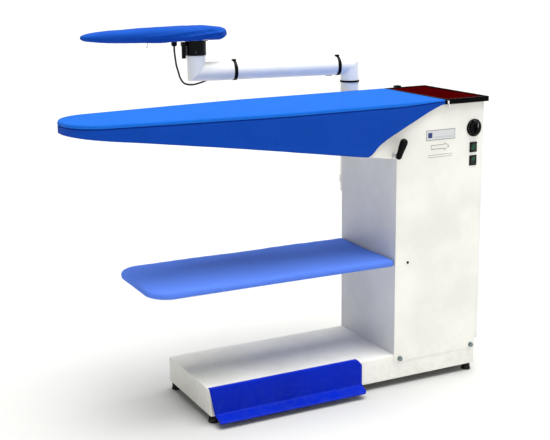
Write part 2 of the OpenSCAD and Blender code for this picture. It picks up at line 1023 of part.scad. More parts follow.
module cable_clips() {
    color(black)
        in_arm_frame()
            difference() {
                union() {
                    for (t = clip_ts) {
                        rod_x(pipe_r + 1.6, t - 2.5, t + 2.5, 0, arm_axis_h);
                        if (t > 100)
                            rod_x(cable_r + 1.8, t - 2.5, t + 2.5, -cable_back, arm_axis_h - cable_drop);
                        block([t - 3, -3, arm_axis_h + pipe_r], [t + 3, 5, arm_axis_h + pipe_r + 4]);
                    }
                    rod_x(6.5, 55, 80, -cable_back, arm_axis_h - cable_drop);
                }
                rod_x(pipe_r + run, 0, arm_l, 0, arm_axis_h);
                rod_x(cable_r + run, 78, arm_l, -cable_back, arm_axis_h - cable_drop);
            }
}

// Smooth curve through the chosen points, with the given number of steps between two of them
function curve_point(p, i, t) =
    let(n = len(p) - 1,
        a = p[max(i - 1, 0)], b = p[i], c = p[min(i + 1, n)], d = p[min(i + 2, n)])
    0.5 * (2 * b + (c - a) * t + (2 * a - 5 * b + 4 * c - d) * t * t
        + (3 * b - a - 3 * c + d) * t * t * t);

module heater_cable() {
    steps = 4;
    n = len(cable_points) - 1;
    path = concat([for (i = [0:n - 1], k = [0:steps - 1]) curve_point(cable_points, i, k / steps)],
        [cable_points[n]]);
    color(black)
        swept_tube(path, cable_r, cable_sides);
}

// ---- Sleeve board ----

clamp_x = tip_x - 44;
clamp_h = 1070;

module sleeve_collar() {
    color(black)
        difference() {
            union() {
                rod_z(pipe_r + 3, tip_x, tip_y, column_top + 0.3, sleeve_low);
                rod_z(bore_r - run, tip_x, tip_y, 1004, column_top + 0.3 + eps);
                rod_z(pipe_r + 10, tip_x, tip_y, sleeve_low, sleeve_low + 3);
                block([clamp_x - 5, tip_y - 4, clamp_h - 7], [tip_x - 26, tip_y + 4, clamp_h + 6]);
            }
            rod_z(24, tip_x, tip_y, 1003, sleeve_low + 4);
            rod_y(2.5 + run, clamp_x, clamp_h, tip_y - 5, tip_y + 5);
        }
}

// Cam lever that locks the sleeve board's swivel, hanging beside the collar
module clamp_lever() {
    color(black)
        union() {
            block([clamp_x - 6, tip_y - 12, clamp_h - 45], [clamp_x + 6, tip_y - 4.3, clamp_h + 6]);
            rod_y(2.5, clamp_x, clamp_h, tip_y - 4.3, tip_y + 7);
        }
}

sleeve_mid_h = sleeve_low + 23;

// Sleeve board outline with a narrow round nose and a wider round end
module sleeve_shape(inset) {
    r_nose = 34 - inset;
    r_end = sleeve_w / 2 - inset;
    x_nose = sleeve_x + 34;
    x_end = sleeve_x + sleeve_l - sleeve_w / 2;
    translate([x_nose, tip_y])
        circle(r = r_nose);
    translate([x_end, tip_y])
        circle(r = r_end);
    polygon([
        [x_nose, tip_y - r_nose], [x_nose + 230, tip_y - r_end], [x_end, tip_y - r_end],
        [x_end, tip_y + r_end], [x_nose + 230, tip_y + r_end], [x_nose, tip_y + r_nose]
    ]);
}

module sleeve_form() {
    color(steel)
        difference() {
            union() {
                translate([0, 0, sleeve_low + 16])
                    linear_extrude(3)
                        sleeve_shape(13);
                block([sleeve_x + 200, tip_y - 40, sleeve_low + 3],
                    [sleeve_x + sleeve_l - 40, tip_y + 40, sleeve_low + 16]);
            }
            rod_z(24, tip_x, tip_y, sleeve_low + 2, sleeve_low + 14);
            for (i = [0:7])
                rod_z(2.5, sleeve_x + 70 + i * 48, tip_y, sleeve_low - eps, sleeve_low + 20);
        }
}

module sleeve_pad() {
    top = sleeve_low + sleeve_t;
    profile = [
        [sleeve_x, sleeve_mid_h - 7], [sleeve_x + 20, sleeve_low + 9], [sleeve_x + 120, sleeve_low + 3],
        [sleeve_x + sleeve_l - 130, sleeve_low + 3], [sleeve_x + sleeve_l - 10, sleeve_low + 12],
        [sleeve_x + sleeve_l, sleeve_mid_h - 4], [sleeve_x + sleeve_l, sleeve_mid_h + 8],
        [sleeve_x + sleeve_l - 14, top - 6], [sleeve_x + sleeve_l - 120, top],
        [sleeve_x + 150, top - 1], [sleeve_x + 16, top - 8], [sleeve_x, sleeve_mid_h + 6]
    ];
    color(blue)
        difference() {
            intersection() {
                translate([0, 0, sleeve_low])
                    linear_extrude(sleeve_t)
                        sleeve_shape(0);
                side_plate(profile, tip_y - sleeve_w, tip_y + sleeve_w);
            }
            translate([0, 0, sleeve_low - eps])
                linear_extrude(20.3)
                    sleeve_shape(12.5);
        }
}

// Gland where the heater cable enters the sleeve board
module cable_gland() {
    color(black)
        translate([cable_points[0][0], cable_points[0][1], 0])
            union() {
                rod_z(9, 0, 0, cable_points[0][2] + 4, sleeve_low + 3);
                translate([0, 0, cable_points[0][2] + 0.3])
                    cylinder(r1 = 6, r2 = 9, h = 3.7);
            }
}

base_deck();
base_side_walls();
base_end_walls();
base_crossbars();
foot_pads();
foot_studs();
cabinet_front();
cabinet_back();
cabinet_left();
side_cover();
panel_bolts();
cover_screws();
shelf_screws();
shelf_frame();
shelf_pad();
shelf_brackets();
duct_floor();
duct_front_wall();
duct_back_wall();
perforated_plate();
heating_element();
board_pad();
board_cover();
iron_rest();
rest_mat();
rest_clip();
lead_socket();
nameplate();
dial_plate();
thermostat();
switch_frames();
fan_housing();
fan_motor();
fan_bracket();
exhaust_grille();
control_box();
pedal_microswitch();
mains_gland();
pedal_shaft();
pedal_spring();
arm_post();
post_clamps();
swivel_ring();
valve_flap();
lever_grip();
foot_pedal();
pedal_arms();
impeller();
thermostat_knob();
board_switch();
arm_switch();
arm_pipe();
cable_clips();
heater_cable();
sleeve_collar();
sleeve_form();
sleeve_pad();
cable_gland();
clamp_lever();
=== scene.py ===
"""Looks of a vacuum ironing table with a swinging sleeve board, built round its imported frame."""

import logging
import math
from dataclasses import dataclass
from enum import Enum
from typing import Optional, Sequence

import bmesh
import bpy
import numpy as np
from mathutils import Matrix, Vector


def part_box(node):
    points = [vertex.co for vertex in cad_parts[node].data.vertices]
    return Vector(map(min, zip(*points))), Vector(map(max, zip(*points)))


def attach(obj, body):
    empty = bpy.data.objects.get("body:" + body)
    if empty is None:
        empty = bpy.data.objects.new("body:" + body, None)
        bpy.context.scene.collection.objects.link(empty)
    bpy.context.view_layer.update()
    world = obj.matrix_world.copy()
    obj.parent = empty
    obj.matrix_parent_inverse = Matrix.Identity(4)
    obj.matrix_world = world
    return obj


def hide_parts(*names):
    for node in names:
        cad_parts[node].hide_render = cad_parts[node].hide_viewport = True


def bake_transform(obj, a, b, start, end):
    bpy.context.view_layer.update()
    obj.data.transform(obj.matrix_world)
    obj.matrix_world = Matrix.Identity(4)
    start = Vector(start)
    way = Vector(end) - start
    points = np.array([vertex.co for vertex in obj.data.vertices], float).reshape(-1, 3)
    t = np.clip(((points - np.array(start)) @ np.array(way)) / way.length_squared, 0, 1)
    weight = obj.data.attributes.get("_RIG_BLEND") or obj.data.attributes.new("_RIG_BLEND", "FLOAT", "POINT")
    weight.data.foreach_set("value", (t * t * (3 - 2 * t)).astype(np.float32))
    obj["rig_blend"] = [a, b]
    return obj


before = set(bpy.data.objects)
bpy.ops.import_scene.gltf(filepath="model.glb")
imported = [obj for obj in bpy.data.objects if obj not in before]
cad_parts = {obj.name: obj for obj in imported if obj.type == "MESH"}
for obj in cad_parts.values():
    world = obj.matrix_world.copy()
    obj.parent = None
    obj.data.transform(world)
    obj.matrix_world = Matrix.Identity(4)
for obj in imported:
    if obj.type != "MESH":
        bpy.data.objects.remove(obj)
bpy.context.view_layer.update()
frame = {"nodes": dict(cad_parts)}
LOG = logging.getLogger("ironing_table")
Colour = tuple[float, float, float]


# ---- Shader building ----


class Sock:
    """A value in a shader; its operators add Math nodes."""

    def __init__(self, graph: "Graph", link: bpy.types.NodeSocket) -> None:
        """Wraps one output socket of the graph."""
        self.graph = graph
        self.link = link

    def math(self, operation: str, *values: "Sock | float") -> "Sock":
        """One Math node of the given operation on the values."""
        return self.graph.node("ShaderNodeMath", {"operation": operation}, dict(enumerate(values)))

    def __add__(self, other: "Sock | float") -> "Sock":
        """Sum."""
        return self.math("ADD", self, other)

    __radd__ = __add__

    def __mul__(self, other: "Sock | float") -> "Sock":
        """Product."""
        return self.math("MULTIPLY", self, other)

    __rmul__ = __mul__

    def __sub__(self, other: "Sock | float") -> "Sock":
        """Difference."""
        return self.math("SUBTRACT", self, other)

    def __rsub__(self, other: "Sock | float") -> "Sock":
        """Difference with the number on the left."""
        return self.math("SUBTRACT", other, self)

    def __truediv__(self, other: "Sock | float") -> "Sock":
        """Quotient."""
        return self.math("DIVIDE", self, other)

    def sin(self) -> "Sock":
        """Sine of a value in radians."""
        return self.math("SINE", self)

    def abs(self) -> "Sock":
        """Distance from zero."""
        return self.math("ABSOLUTE", self)

    def over(self, edge: float) -> "Sock":
        """1 where the value is above the edge."""
        return self.math("GREATER_THAN", self, edge)

    def smooth(self, low: float, high: float) -> "Sock":
        """0 at low, 1 at high, with a smooth step between them.

        Args:
            low: the value that gives 0.
            high: the value that gives 1.

        Returns:
            The step.
        """
        return self.graph.node(
            "ShaderNodeMapRange",
            {"interpolation_type": "SMOOTHSTEP"},
            {"Value": self, "From Min": low, "From Max": high},
        )

    def between(self, low: float, high: float, soft: float) -> "Sock":
        """1 between low and high, falling to 0 over the soft distance."""
        return self.smooth(low - soft, low + soft) * (1 - self.smooth(high - soft, high + soft))


class Graph:
    """The nodes of one material."""

    def __init__(self, name: str) -> None:
        """Starts an empty material of that name."""
        self.material = bpy.data.materials.new(name)
        self.material.use_nodes = True
        self.tree = self.material.node_tree
        self.tree.nodes.clear()
        self._coords: dict[str, Sock] = {}

    def node(
        self, kind: str, settings: Optional[dict] = None, inputs: Optional[dict] = None, out: int | str = 0
    ) -> Sock:
        """Adds a node.

        Args:
            kind: the node's type name.
            settings: its properties, set first; "stops" holds a colour ramp's positions and colours.
            inputs: values or links by socket name or number.
            out: the output socket that is wanted.

        Returns:
            The chosen output.
        """
        made = self.tree.nodes.new(kind)
        for key, value in (settings or {}).items():
            if key == "stops":
                ramp = made.color_ramp.elements
                while len(ramp) < len(value):
                    ramp.new(0.5)
                for element, (place, colour) in zip(ramp, value):
                    element.position = place
                    element.color = (*colour, 1.0)
            else:
                setattr(made, key, value)
        for key, value in (inputs or {}).items():
            socket = made.inputs[key]
            if isinstance(value, Sock):
                self.tree.links.new(value.link, socket)
            elif isinstance(value, tuple) and len(value) == 3 and len(socket.default_value) == 4:
                socket.default_value = (*value, 1.0)
            else:
                socket.default_value = value
        return Sock(self, made.outputs[out])

    def place(self, source: str = "Object") -> Sock:
        """Object coordinates in metres, or the UV map, which is in metres too."""
        if source not in self._coords:
            self._coords[source] = self.node("ShaderNodeTexCoord", out=source)
        return self._coords[source]

    def axes(self, vector: Sock) -> tuple[Sock, Sock, Sock]:
        """The three components of a vector."""
        split = self.node("ShaderNodeSeparateXYZ", inputs={0: vector})
        outs = split.link.node.outputs
        return Sock(self, outs[0]), Sock(self, outs[1]), Sock(self, outs[2])

    def stretch(self, vector: Sock, scale: tuple[float, float, float], turn: float = 0.0) -> Sock:
        """The vector scaled along each axis and turned about Z."""
        inputs = {"Vector": vector, "Scale": scale, "Rotation": (0, 0, turn)}
        return self.node("ShaderNodeMapping", inputs=inputs)

    def noise(
        self, vector: Sock, scale: float, detail: float = 3.0, rough: float = 0.55, warp: float = 0.0
    ) -> Sock:
        """Fractal noise, mostly from 0.3 to 0.7.

        Args:
            vector: coordinates.
            scale: repeats in one unit of the coordinates.
            detail: octaves.
            rough: share kept by each octave.
            warp: distortion.

        Returns:
            The noise.
        """
        return self.node(
            "ShaderNodeTexNoise",
            {"noise_dimensions": "3D"},
            {"Vector": vector, "Scale": scale, "Detail": detail, "Roughness": rough, "Distortion": warp},
        )

    def cells(self, vector: Sock, scale: float) -> Sock:
        """Distance to the nearest cell centre."""
        return self.node("ShaderNodeTexVoronoi", {"feature": "F1"}, {"Vector": vector, "Scale": scale})

    def mix(self, share: "Sock | float", first: "Sock | Colour", second: "Sock | Colour") -> Sock:
        """Colour that goes from first to second with the share."""
        return self.node(
            "ShaderNodeMix", {"data_type": "RGBA"}, {0: share, 6: first, 7: second}, out=2
        )

    def bump(
        self, height: Sock, distance: float, strength: float = 1.0, under: Optional[Sock] = None
    ) -> Sock:
        """Normal of a height field, on top of an earlier bump.

        Args:
            height: the height from 0 to 1.
            distance: what 1 stands for, in metres.
            strength: share of the effect.
            under: an earlier bump's normal.

        Returns:
            The normal.
        """
        inputs: dict = {"Height": height, "Distance": distance, "Strength": strength}
        if under is not None:
            inputs["Normal"] = under
        return self.node("ShaderNodeBump", inputs=inputs)

    def finish(
        self, colour: Sock, rough: "Sock | float", normal: Sock, metal: "Sock | float" = 0.0, **fixed: float
    ) -> bpy.types.Material:
        """Joins the parts to a Principled shader.

        Args:
            colour: base colour.
            rough: roughness.
            normal: bump normal.
            metal: metallic share.
            fixed: numbers set on the shader's own sockets, with _ for a space.

        Returns:
            The finished material.
        """
        inputs: dict = {"Base Color": colour, "Roughness": rough, "Metallic": metal, "Normal": normal}
        inputs.update({key.replace("_", " "): value for key, value in fixed.items()})
        shader = self.node("ShaderNodeBsdfPrincipled", inputs=inputs)
        output = self.tree.nodes.new("ShaderNodeOutputMaterial")
        self.tree.links.new(shader.link, output.inputs["Surface"])
        return self.material


# ---- Finishes ----


@dataclass(frozen=True)
class Enamel:
    """Sprayed and baked paint on sheet steel, with orange peel, dust and fine scratches."""

    name: str
    colour: Colour
    rough: float = 0.32
    peel: float = 0.00012
    tone: float = 0.04
    dust: float = 0.25
    coat: float = 0.08
    specular: float = 0.3
    low_z: float = 0.0
    low_dust: Colour = (0.30, 0.28, 0.25)
    scratch: float = 0.25

    def build(self) -> bpy.types.Material:
        """Colour drifts with broad noise, dust gathers low down, and thin scratches show lighter."""
        g = Graph(self.name)
        p = g.place()
        _, _, z = g.axes(p)
        broad = g.noise(p, 5.0, 4.0)
        fine = g.noise(p, 55.0, 5.0, 0.65)
        darker = tuple(c * (1 - 2.2 * self.tone) for c in self.colour)
        lighter = tuple(min(0.95, c * (1 + self.tone)) for c in self.colour)
        body = g.mix(broad.smooth(0.3, 0.7), darker, lighter)
        low = (1 - z.smooth(self.low_z, self.low_z + 0.16)) * fine.smooth(0.35, 0.75) * self.dust
        body = g.mix(low, body, self.low_dust)
        lines = g.noise(g.stretch(p, (14.0, 14.0, 260.0), 0.35), 1.0, 2.0, 0.5, 0.6)
        other = g.noise(g.stretch(p, (300.0, 30.0, 22.0), 0.8), 1.0, 2.0, 0.5, 0.4)
        scratch = (lines.smooth(0.75, 0.775) + other.smooth(0.75, 0.775)) * self.scratch
        body = g.mix(scratch, body, tuple(min(0.9, 0.5 * c + 0.32) for c in self.colour))
        rough = self.rough + (fine - 0.5) * 0.22 + scratch * 0.3 + low * 0.3
        peel = g.noise(p, 420.0, 2.0, 0.45)
        normal = g.bump(peel, self.peel)
        normal = g.bump(broad, 0.0004, 0.5, normal)
        fixed = {"Coat_Weight": self.coat, "Coat_Roughness": 0.2, "Specular_IOR_Level": self.specular}
        return g.finish(body, rough, normal, **fixed)


@dataclass(frozen=True)
class Steel:
    """Bare or plated steel and aluminium, brushed or spangled."""

    name: str
    colour: Colour
    rough: float = 0.32
    grain: tuple[float, float, float] = (900.0, 60.0, 900.0)
    spangle: float = 0.0
    tarnish: float = 0.25

    def build(self) -> bpy.types.Material:
        """Long fine grain on soft blotches, with a darker film in patches."""
        g = Graph(self.name)
        p = g.place()
        grain = g.noise(g.stretch(p, self.grain), 1.0, 3.0)
        blotch = g.noise(p, 32.0, 4.0, 0.6)
        flakes = g.cells(p, 160.0)
        dark = tuple(c * 0.55 for c in self.colour)
        body = g.mix(blotch.smooth(0.42, 0.75) * self.tarnish + grain * 0.12, self.colour, dark)
        body = g.mix(flakes * self.spangle, body, tuple(min(1.0, c * 1.25) for c in self.colour))
        rough = self.rough + (blotch - 0.5) * 0.3 + (grain - 0.5) * 0.2
        normal = g.bump(grain, 0.00004)
        return g.finish(body, rough, normal, metal=0.95)


@dataclass(frozen=True)
class Moulded:
    """Moulded plastic, rubber or silicone with a fine grained skin."""

    name: str
    colour: Colour
    rough: float = 0.45
    grain: float = 0.00008
    grain_scale: float = 1400.0
    bloom: float = 0.12
    bloom_colour: Colour = (0.35, 0.34, 0.33)
    coat: float = 0.0
    specular: float = 0.12

    def build(self) -> bpy.types.Material:
        """Fine grain, finger marks in the gloss and a light dusty bloom in patches."""
        g = Graph(self.name)
        p = g.place()
        skin = g.noise(p, self.grain_scale, 2.0, 0.5)
        marks = g.noise(p, 90.0, 5.0, 0.62, 0.8)
        broad = g.noise(p, 16.0, 3.0)
        dark = tuple(c * 0.72 for c in self.colour)
        body = g.mix(broad.smooth(0.35, 0.7), dark, self.colour)
        body = g.mix(marks.smooth(0.45, 0.8) * self.bloom, body, self.bloom_colour)
        rough = self.rough + (marks - 0.5) * 0.35
        normal = g.bump(skin, self.grain)
        return g.finish(body, rough, normal, Coat_Weight=self.coat, Specular_IOR_Level=self.specular)


@dataclass(frozen=True)
class Woven:
    """Plain-woven cloth; its threads follow the UV map, which is in metres."""

    name: str
    colour: Colour
    pitch: float = 0.0011
    source: str = "UV"
    relief: float = 0.00018
    fade: float = 0.10
    sheen: float = 0.03
    specular: float = 0.08

    def build(self) -> bpy.types.Material:
        """Warp and weft ribs take turns on a chequer; the gaps between them are darker as painted shade,
        threads differ in tone, with broad fading on top.
        """
        g = Graph(self.name)
        p = g.place(self.source)
        u, v, _ = g.axes(p)
        a, b = u / self.pitch, v / self.pitch
        warp = (a * math.pi).sin().abs()
        weft = (b * math.pi).sin().abs()
        chequer = ((a * math.pi).sin() * (b * math.pi).sin()).over(0.0)
        height = warp * chequer + weft * (1 - chequer)
        slub_u = g.noise(g.stretch(p, (900.0, 7.0, 1.0)), 1.0, 2.0)
        slub_v = g.noise(g.stretch(p, (7.0, 900.0, 1.0)), 1.0, 2.0)
        body = g.place()
        broad = g.noise(body, 7.0, 4.0, 0.6, 0.4)
        fuzz = g.noise(body, 700.0, 2.0)
        deep_and_gap_shade = tuple(c * 0.66 for c in self.colour)
        pale = tuple(min(1.0, c * 1.25 + 0.01) for c in self.colour)
        # Low places of the weave get the darker colour: painted shade in the gaps between threads; the slub
        # part is real thread tone.
        tone = height * 0.55 + (slub_u + slub_v - 1.0) * 0.9 + 0.45
        colour = g.mix(tone.smooth(0.0, 1.2), deep_and_gap_shade, self.colour)
        colour = g.mix(broad.smooth(0.4, 0.75) * self.fade, colour, pale)
        colour = g.mix(fuzz.smooth(0.6, 0.8) * 0.12, colour, pale)
        normal = g.bump(height + (slub_u + slub_v) * 0.6, self.relief)
        normal = g.bump(broad, 0.0015, 0.6, normal)
        rough = 0.82 + (fuzz - 0.5) * 0.2
        return g.finish(colour, rough, normal, Sheen_Weight=self.sheen, Specular_IOR_Level=self.specular)


@dataclass(frozen=True)
class Felt:
    """Needled felt or a foam's skin."""

    name: str
    colour: Colour

    def build(self) -> bpy.types.Material:
        """Tangled fibres from two stretched noises, with flecks."""
        g = Graph(self.name)
        p = g.place()
        one = g.noise(g.stretch(p, (900.0, 120.0, 500.0), 0.5), 1.0, 3.0)
        two = g.noise(g.stretch(p, (120.0, 900.0, 500.0), -0.4), 1.0, 3.0)
        flecks = g.noise(p, 260.0, 4.0)
        dark = tuple(c * 0.7 for c in self.colour)
        body = g.mix((one + two) * 0.5, dark, self.colour)
        body = g.mix(flecks.smooth(0.6, 0.72) * 0.3, body, dark)
        return g.finish(body, 0.9 + (one - 0.5) * 0.1, g.bump(one + two, 0.0006), Sheen_Weight=0.3)


@dataclass(frozen=True)
class Lens:
    """Rocker moulding with a clear green window set in black plastic."""

    name: str
    centre: tuple[float, float, float]
    half: tuple[float, float]
    shift: float = 0.0
    window: Colour = (0.004, 0.055, 0.022)
    frame: Colour = (0.012, 0.012, 0.013)

    def build(self) -> bpy.types.Material:
        """The window is a soft-edged rectangle in X and Z; fine ribs run across it, and the window is lighter
        on their crests as painted highlight.
        """
        g = Graph(self.name)
        p = g.place()
        x, _, z = g.axes(p)
        cx, _, cz = self.centre
        inside = x.between(cx - self.half[0], cx + self.half[0], 0.0003) * z.between(
            cz + self.shift - self.half[1], cz + self.shift + self.half[1], 0.0003
        )
        ribs = (z * (math.pi / 0.0012)).sin().abs()
        marks = g.noise(p, 120.0, 4.0, 0.6, 0.5)
        # Rib crests lighter: painted highlight; the noise part is random tone of the plastic.
        window_tone_and_rib_highlight = g.mix(ribs * 0.4 + (marks - 0.5) * 0.4, self.window, tuple(c * 2.4 for c in self.window))
        body = g.mix(inside, g.mix(marks * 0.2, self.frame, (0.05, 0.05, 0.05)), window_tone_and_rib_highlight)
        rough = 0.34 - inside * 0.16 + (marks - 0.5) * 0.25
        normal = g.bump(ribs * inside * 0.5 + g.noise(p, 1500.0, 2.0) * 0.3, 0.0001)
        return g.finish(body, rough, normal, Coat_Weight=0.05, Specular_IOR_Level=0.15)


@dataclass(frozen=True)
class Foil:
    """Brushed silver label foil with a plain dark square and thin plain lines."""

    name: str
    low: tuple[float, float, float]
    high: tuple[float, float, float]

    def build(self) -> bpy.types.Material:
        """Shares of the plate's width and height place the square and the lines."""
        g = Graph(self.name)
        p = g.place()
        x, _, z = g.axes(p)
        u = (x - self.low[0]) / (self.high[0] - self.low[0])
        v = (z - self.low[2]) / (self.high[2] - self.low[2])
        brushed = g.noise(g.stretch(p, (40.0, 40.0, 2600.0)), 1.0, 3.0)
        smudge = g.noise(p, 60.0, 4.0, 0.6)
        silver = g.mix(brushed, (0.50, 0.51, 0.53), (0.80, 0.81, 0.82))
        square = u.between(0.06, 0.205, 0.004) * v.between(0.24, 0.76, 0.01)
        rows = v.between(0.20, 0.225, 0.006) + v.between(0.30, 0.325, 0.006)
        rules = u.between(0.26, 0.94, 0.004) * rows
        border = 1 - u.between(0.012, 0.988, 0.002) * v.between(0.05, 0.95, 0.006)
        body = g.mix(square, silver, (0.012, 0.03, 0.16))
        body = g.mix(rules * 0.55, body, (0.12, 0.13, 0.16))
        body = g.mix(border * 0.8, body, (0.10, 0.11, 0.13))
        rough = 0.34 + (smudge - 0.5) * 0.3 + square * 0.1
        return g.finish(body, rough, g.bump(brushed, 0.00003), metal=0.75 - square * 0.7)


@dataclass(frozen=True)
class Sheath:
    """Rubber or woven sheath of a cable; its pattern runs on the UV map in metres."""

    name: str
    colour: Colour
    pitch: float = 0.0016

    def build(self) -> bpy.types.Material:
        """Two families of crossing diagonal strands, darker in the grooves between them as painted shade,
        with lint.
        """
        g = Graph(self.name)
        u, v, _ = g.axes(g.place("UV"))
        left = ((u + v) * (math.pi / self.pitch)).sin().abs()
        right = ((u - v) * (math.pi / self.pitch)).sin().abs()
        weave = left * right
        lint = g.noise(g.place(), 500.0, 3.0)
        # The grooves between strands get the darker colour: painted shade.
        body = g.mix(weave, tuple(c * 0.5 for c in self.colour), self.colour)
        body = g.mix(lint.smooth(0.62, 0.75) * 0.25, body, (0.3, 0.3, 0.3))
        return g.finish(body, 0.62 + (lint - 0.5) * 0.2, g.bump(weave, 0.0002))


class Finish(Enum):
    """The finishes of this table; each value is a builder."""

    WHITE = Enamel("white_paint", (0.83, 0.82, 0.765), rough=0.34, low_z=0.02, dust=0.16)
    # The cabinet's white paint made grey for the left panel: painted shade for the shadow under the board on
    # that side.
    LEFT = Enamel("left_panel_painted_shade", (0.64, 0.645, 0.66), rough=0.36, low_z=0.02, dust=0.16)
    GREY_WHITE = Enamel("side_white_paint", (0.80, 0.80, 0.77), rough=0.34, low_z=0.1)
    PIPE = Enamel("arm_paint", (0.95, 0.93, 0.84), rough=0.34, low_z=-1.0)
    PEDAL = Enamel(
        "blue_paint", (0.0006, 0.016, 0.43), 0.34, tone=0.06, coat=0.02, specular=0.04,
        low_z=0.01, low_dust=(0.03, 0.06, 0.3), scratch=0.05,
    )
    MOTOR = Enamel("motor_paint", (0.10, 0.13, 0.16), rough=0.45)
    TRAY = Enamel(
        "black_steel", (0.0012, 0.0010, 0.0012), 0.36, tone=0.1, coat=0.0, specular=0.04,
        low_z=-1.0, low_dust=(0.03, 0.03, 0.03),
    )
    ZINC = Steel("zinc_steel", (0.66, 0.67, 0.69), spangle=0.3)
    ALUMINIUM = Enamel(
        "black_aluminium", (0.0015, 0.0015, 0.002), 0.25, tone=0.1, coat=0.0, specular=0.10, low_z=-1.0
    )
    BOLT = Steel("bolt_zinc", (0.20, 0.25, 0.26), rough=0.3)
    BRIGHT = Steel("bright_steel", (0.78, 0.78, 0.79), rough=0.2)
    PLASTIC = Moulded(
        "black_plastic", (0.003, 0.003, 0.0035), rough=0.38, bloom=0.03,
        bloom_colour=(0.12, 0.12, 0.12), specular=0.08,
    )
    RUBBER = Moulded("black_rubber", (0.012, 0.012, 0.013), rough=0.72, grain_scale=900.0, bloom=0.12)
    MAT = Moulded(
        "red_silicone", (0.060, 0.0005, 0.0008), rough=0.55, bloom=0.02,
        bloom_colour=(0.12, 0.01, 0.01), specular=0.0,
    )
    MARK = Moulded("dial_marks", (0.72, 0.72, 0.70), rough=0.5, bloom=0.1)
    COVER = Woven("board_cloth", (0.0060, 0.122, 0.57))
    # Darker copy of the cover's cloth for the skirt: painted shade for the sides that face away from the
    # overhead light.
    SKIRT_SHADED = Woven("skirt_cloth_painted_shade", (0.0022, 0.060, 0.43))
    SHELF = Woven("shelf_cloth", (0.105, 0.235, 0.86), pitch=0.0013)
    SLEEVE = Woven("sleeve_cloth", (0.0050, 0.076, 0.44))
    CORD = Sheath("drawcord", (0.60, 0.62, 0.66), 0.0011)
    CABLE = Sheath("black_cable", (0.03, 0.03, 0.032))
    FELT = Felt("felt", (0.55, 0.50, 0.40))


class Paint:
    """Builds each finish once."""

    _made: dict[str, bpy.types.Material] = {}

    @classmethod
    def of(cls, finish: "Finish | Lens | Foil") -> bpy.types.Material:
        """The material of a finish."""
        source = finish.value if isinstance(finish, Finish) else finish
        if source.name not in cls._made:
            cls._made[source.name] = source.build()
        return cls._made[source.name]


# ---- Mesh building ----


def ease(low: float, high: float, x: np.ndarray) -> np.ndarray:
    """Smooth step: 0 at low, 1 at high, 3t^2 - 2t^3 between them.

    Args:
        low: the value that gives 0.
        high: the value that gives 1.
        x: the values.

    Returns:
        The step at each value.
    """
    t = np.clip((x - low) / (high - low), 0, 1)
    return t * t * (3 - 2 * t)


def ripple(u: np.ndarray, v: np.ndarray, seed: int, waves: int = 9, longest: float = 0.25) -> np.ndarray:
    """Sum of sines in seeded directions, each a little shorter and lower than the last, about -1 to 1.

    Args:
        u: first coordinate.
        v: second coordinate.
        seed: seed of the directions and phases.
        waves: number of sines.
        longest: longest wavelength.

    Returns:
        The sum at each place.
    """
    rng = np.random.default_rng(seed)
    out = np.zeros(np.broadcast(u, v).shape)
    for k in range(waves):
        length = longest * 0.78**k
        turn, phase = rng.uniform(0, math.pi), rng.uniform(0, 2 * math.pi)
        out += 0.8**k * np.sin((u * math.cos(turn) + v * math.sin(turn)) * 2 * math.pi / length + phase)
    return out / 2.2


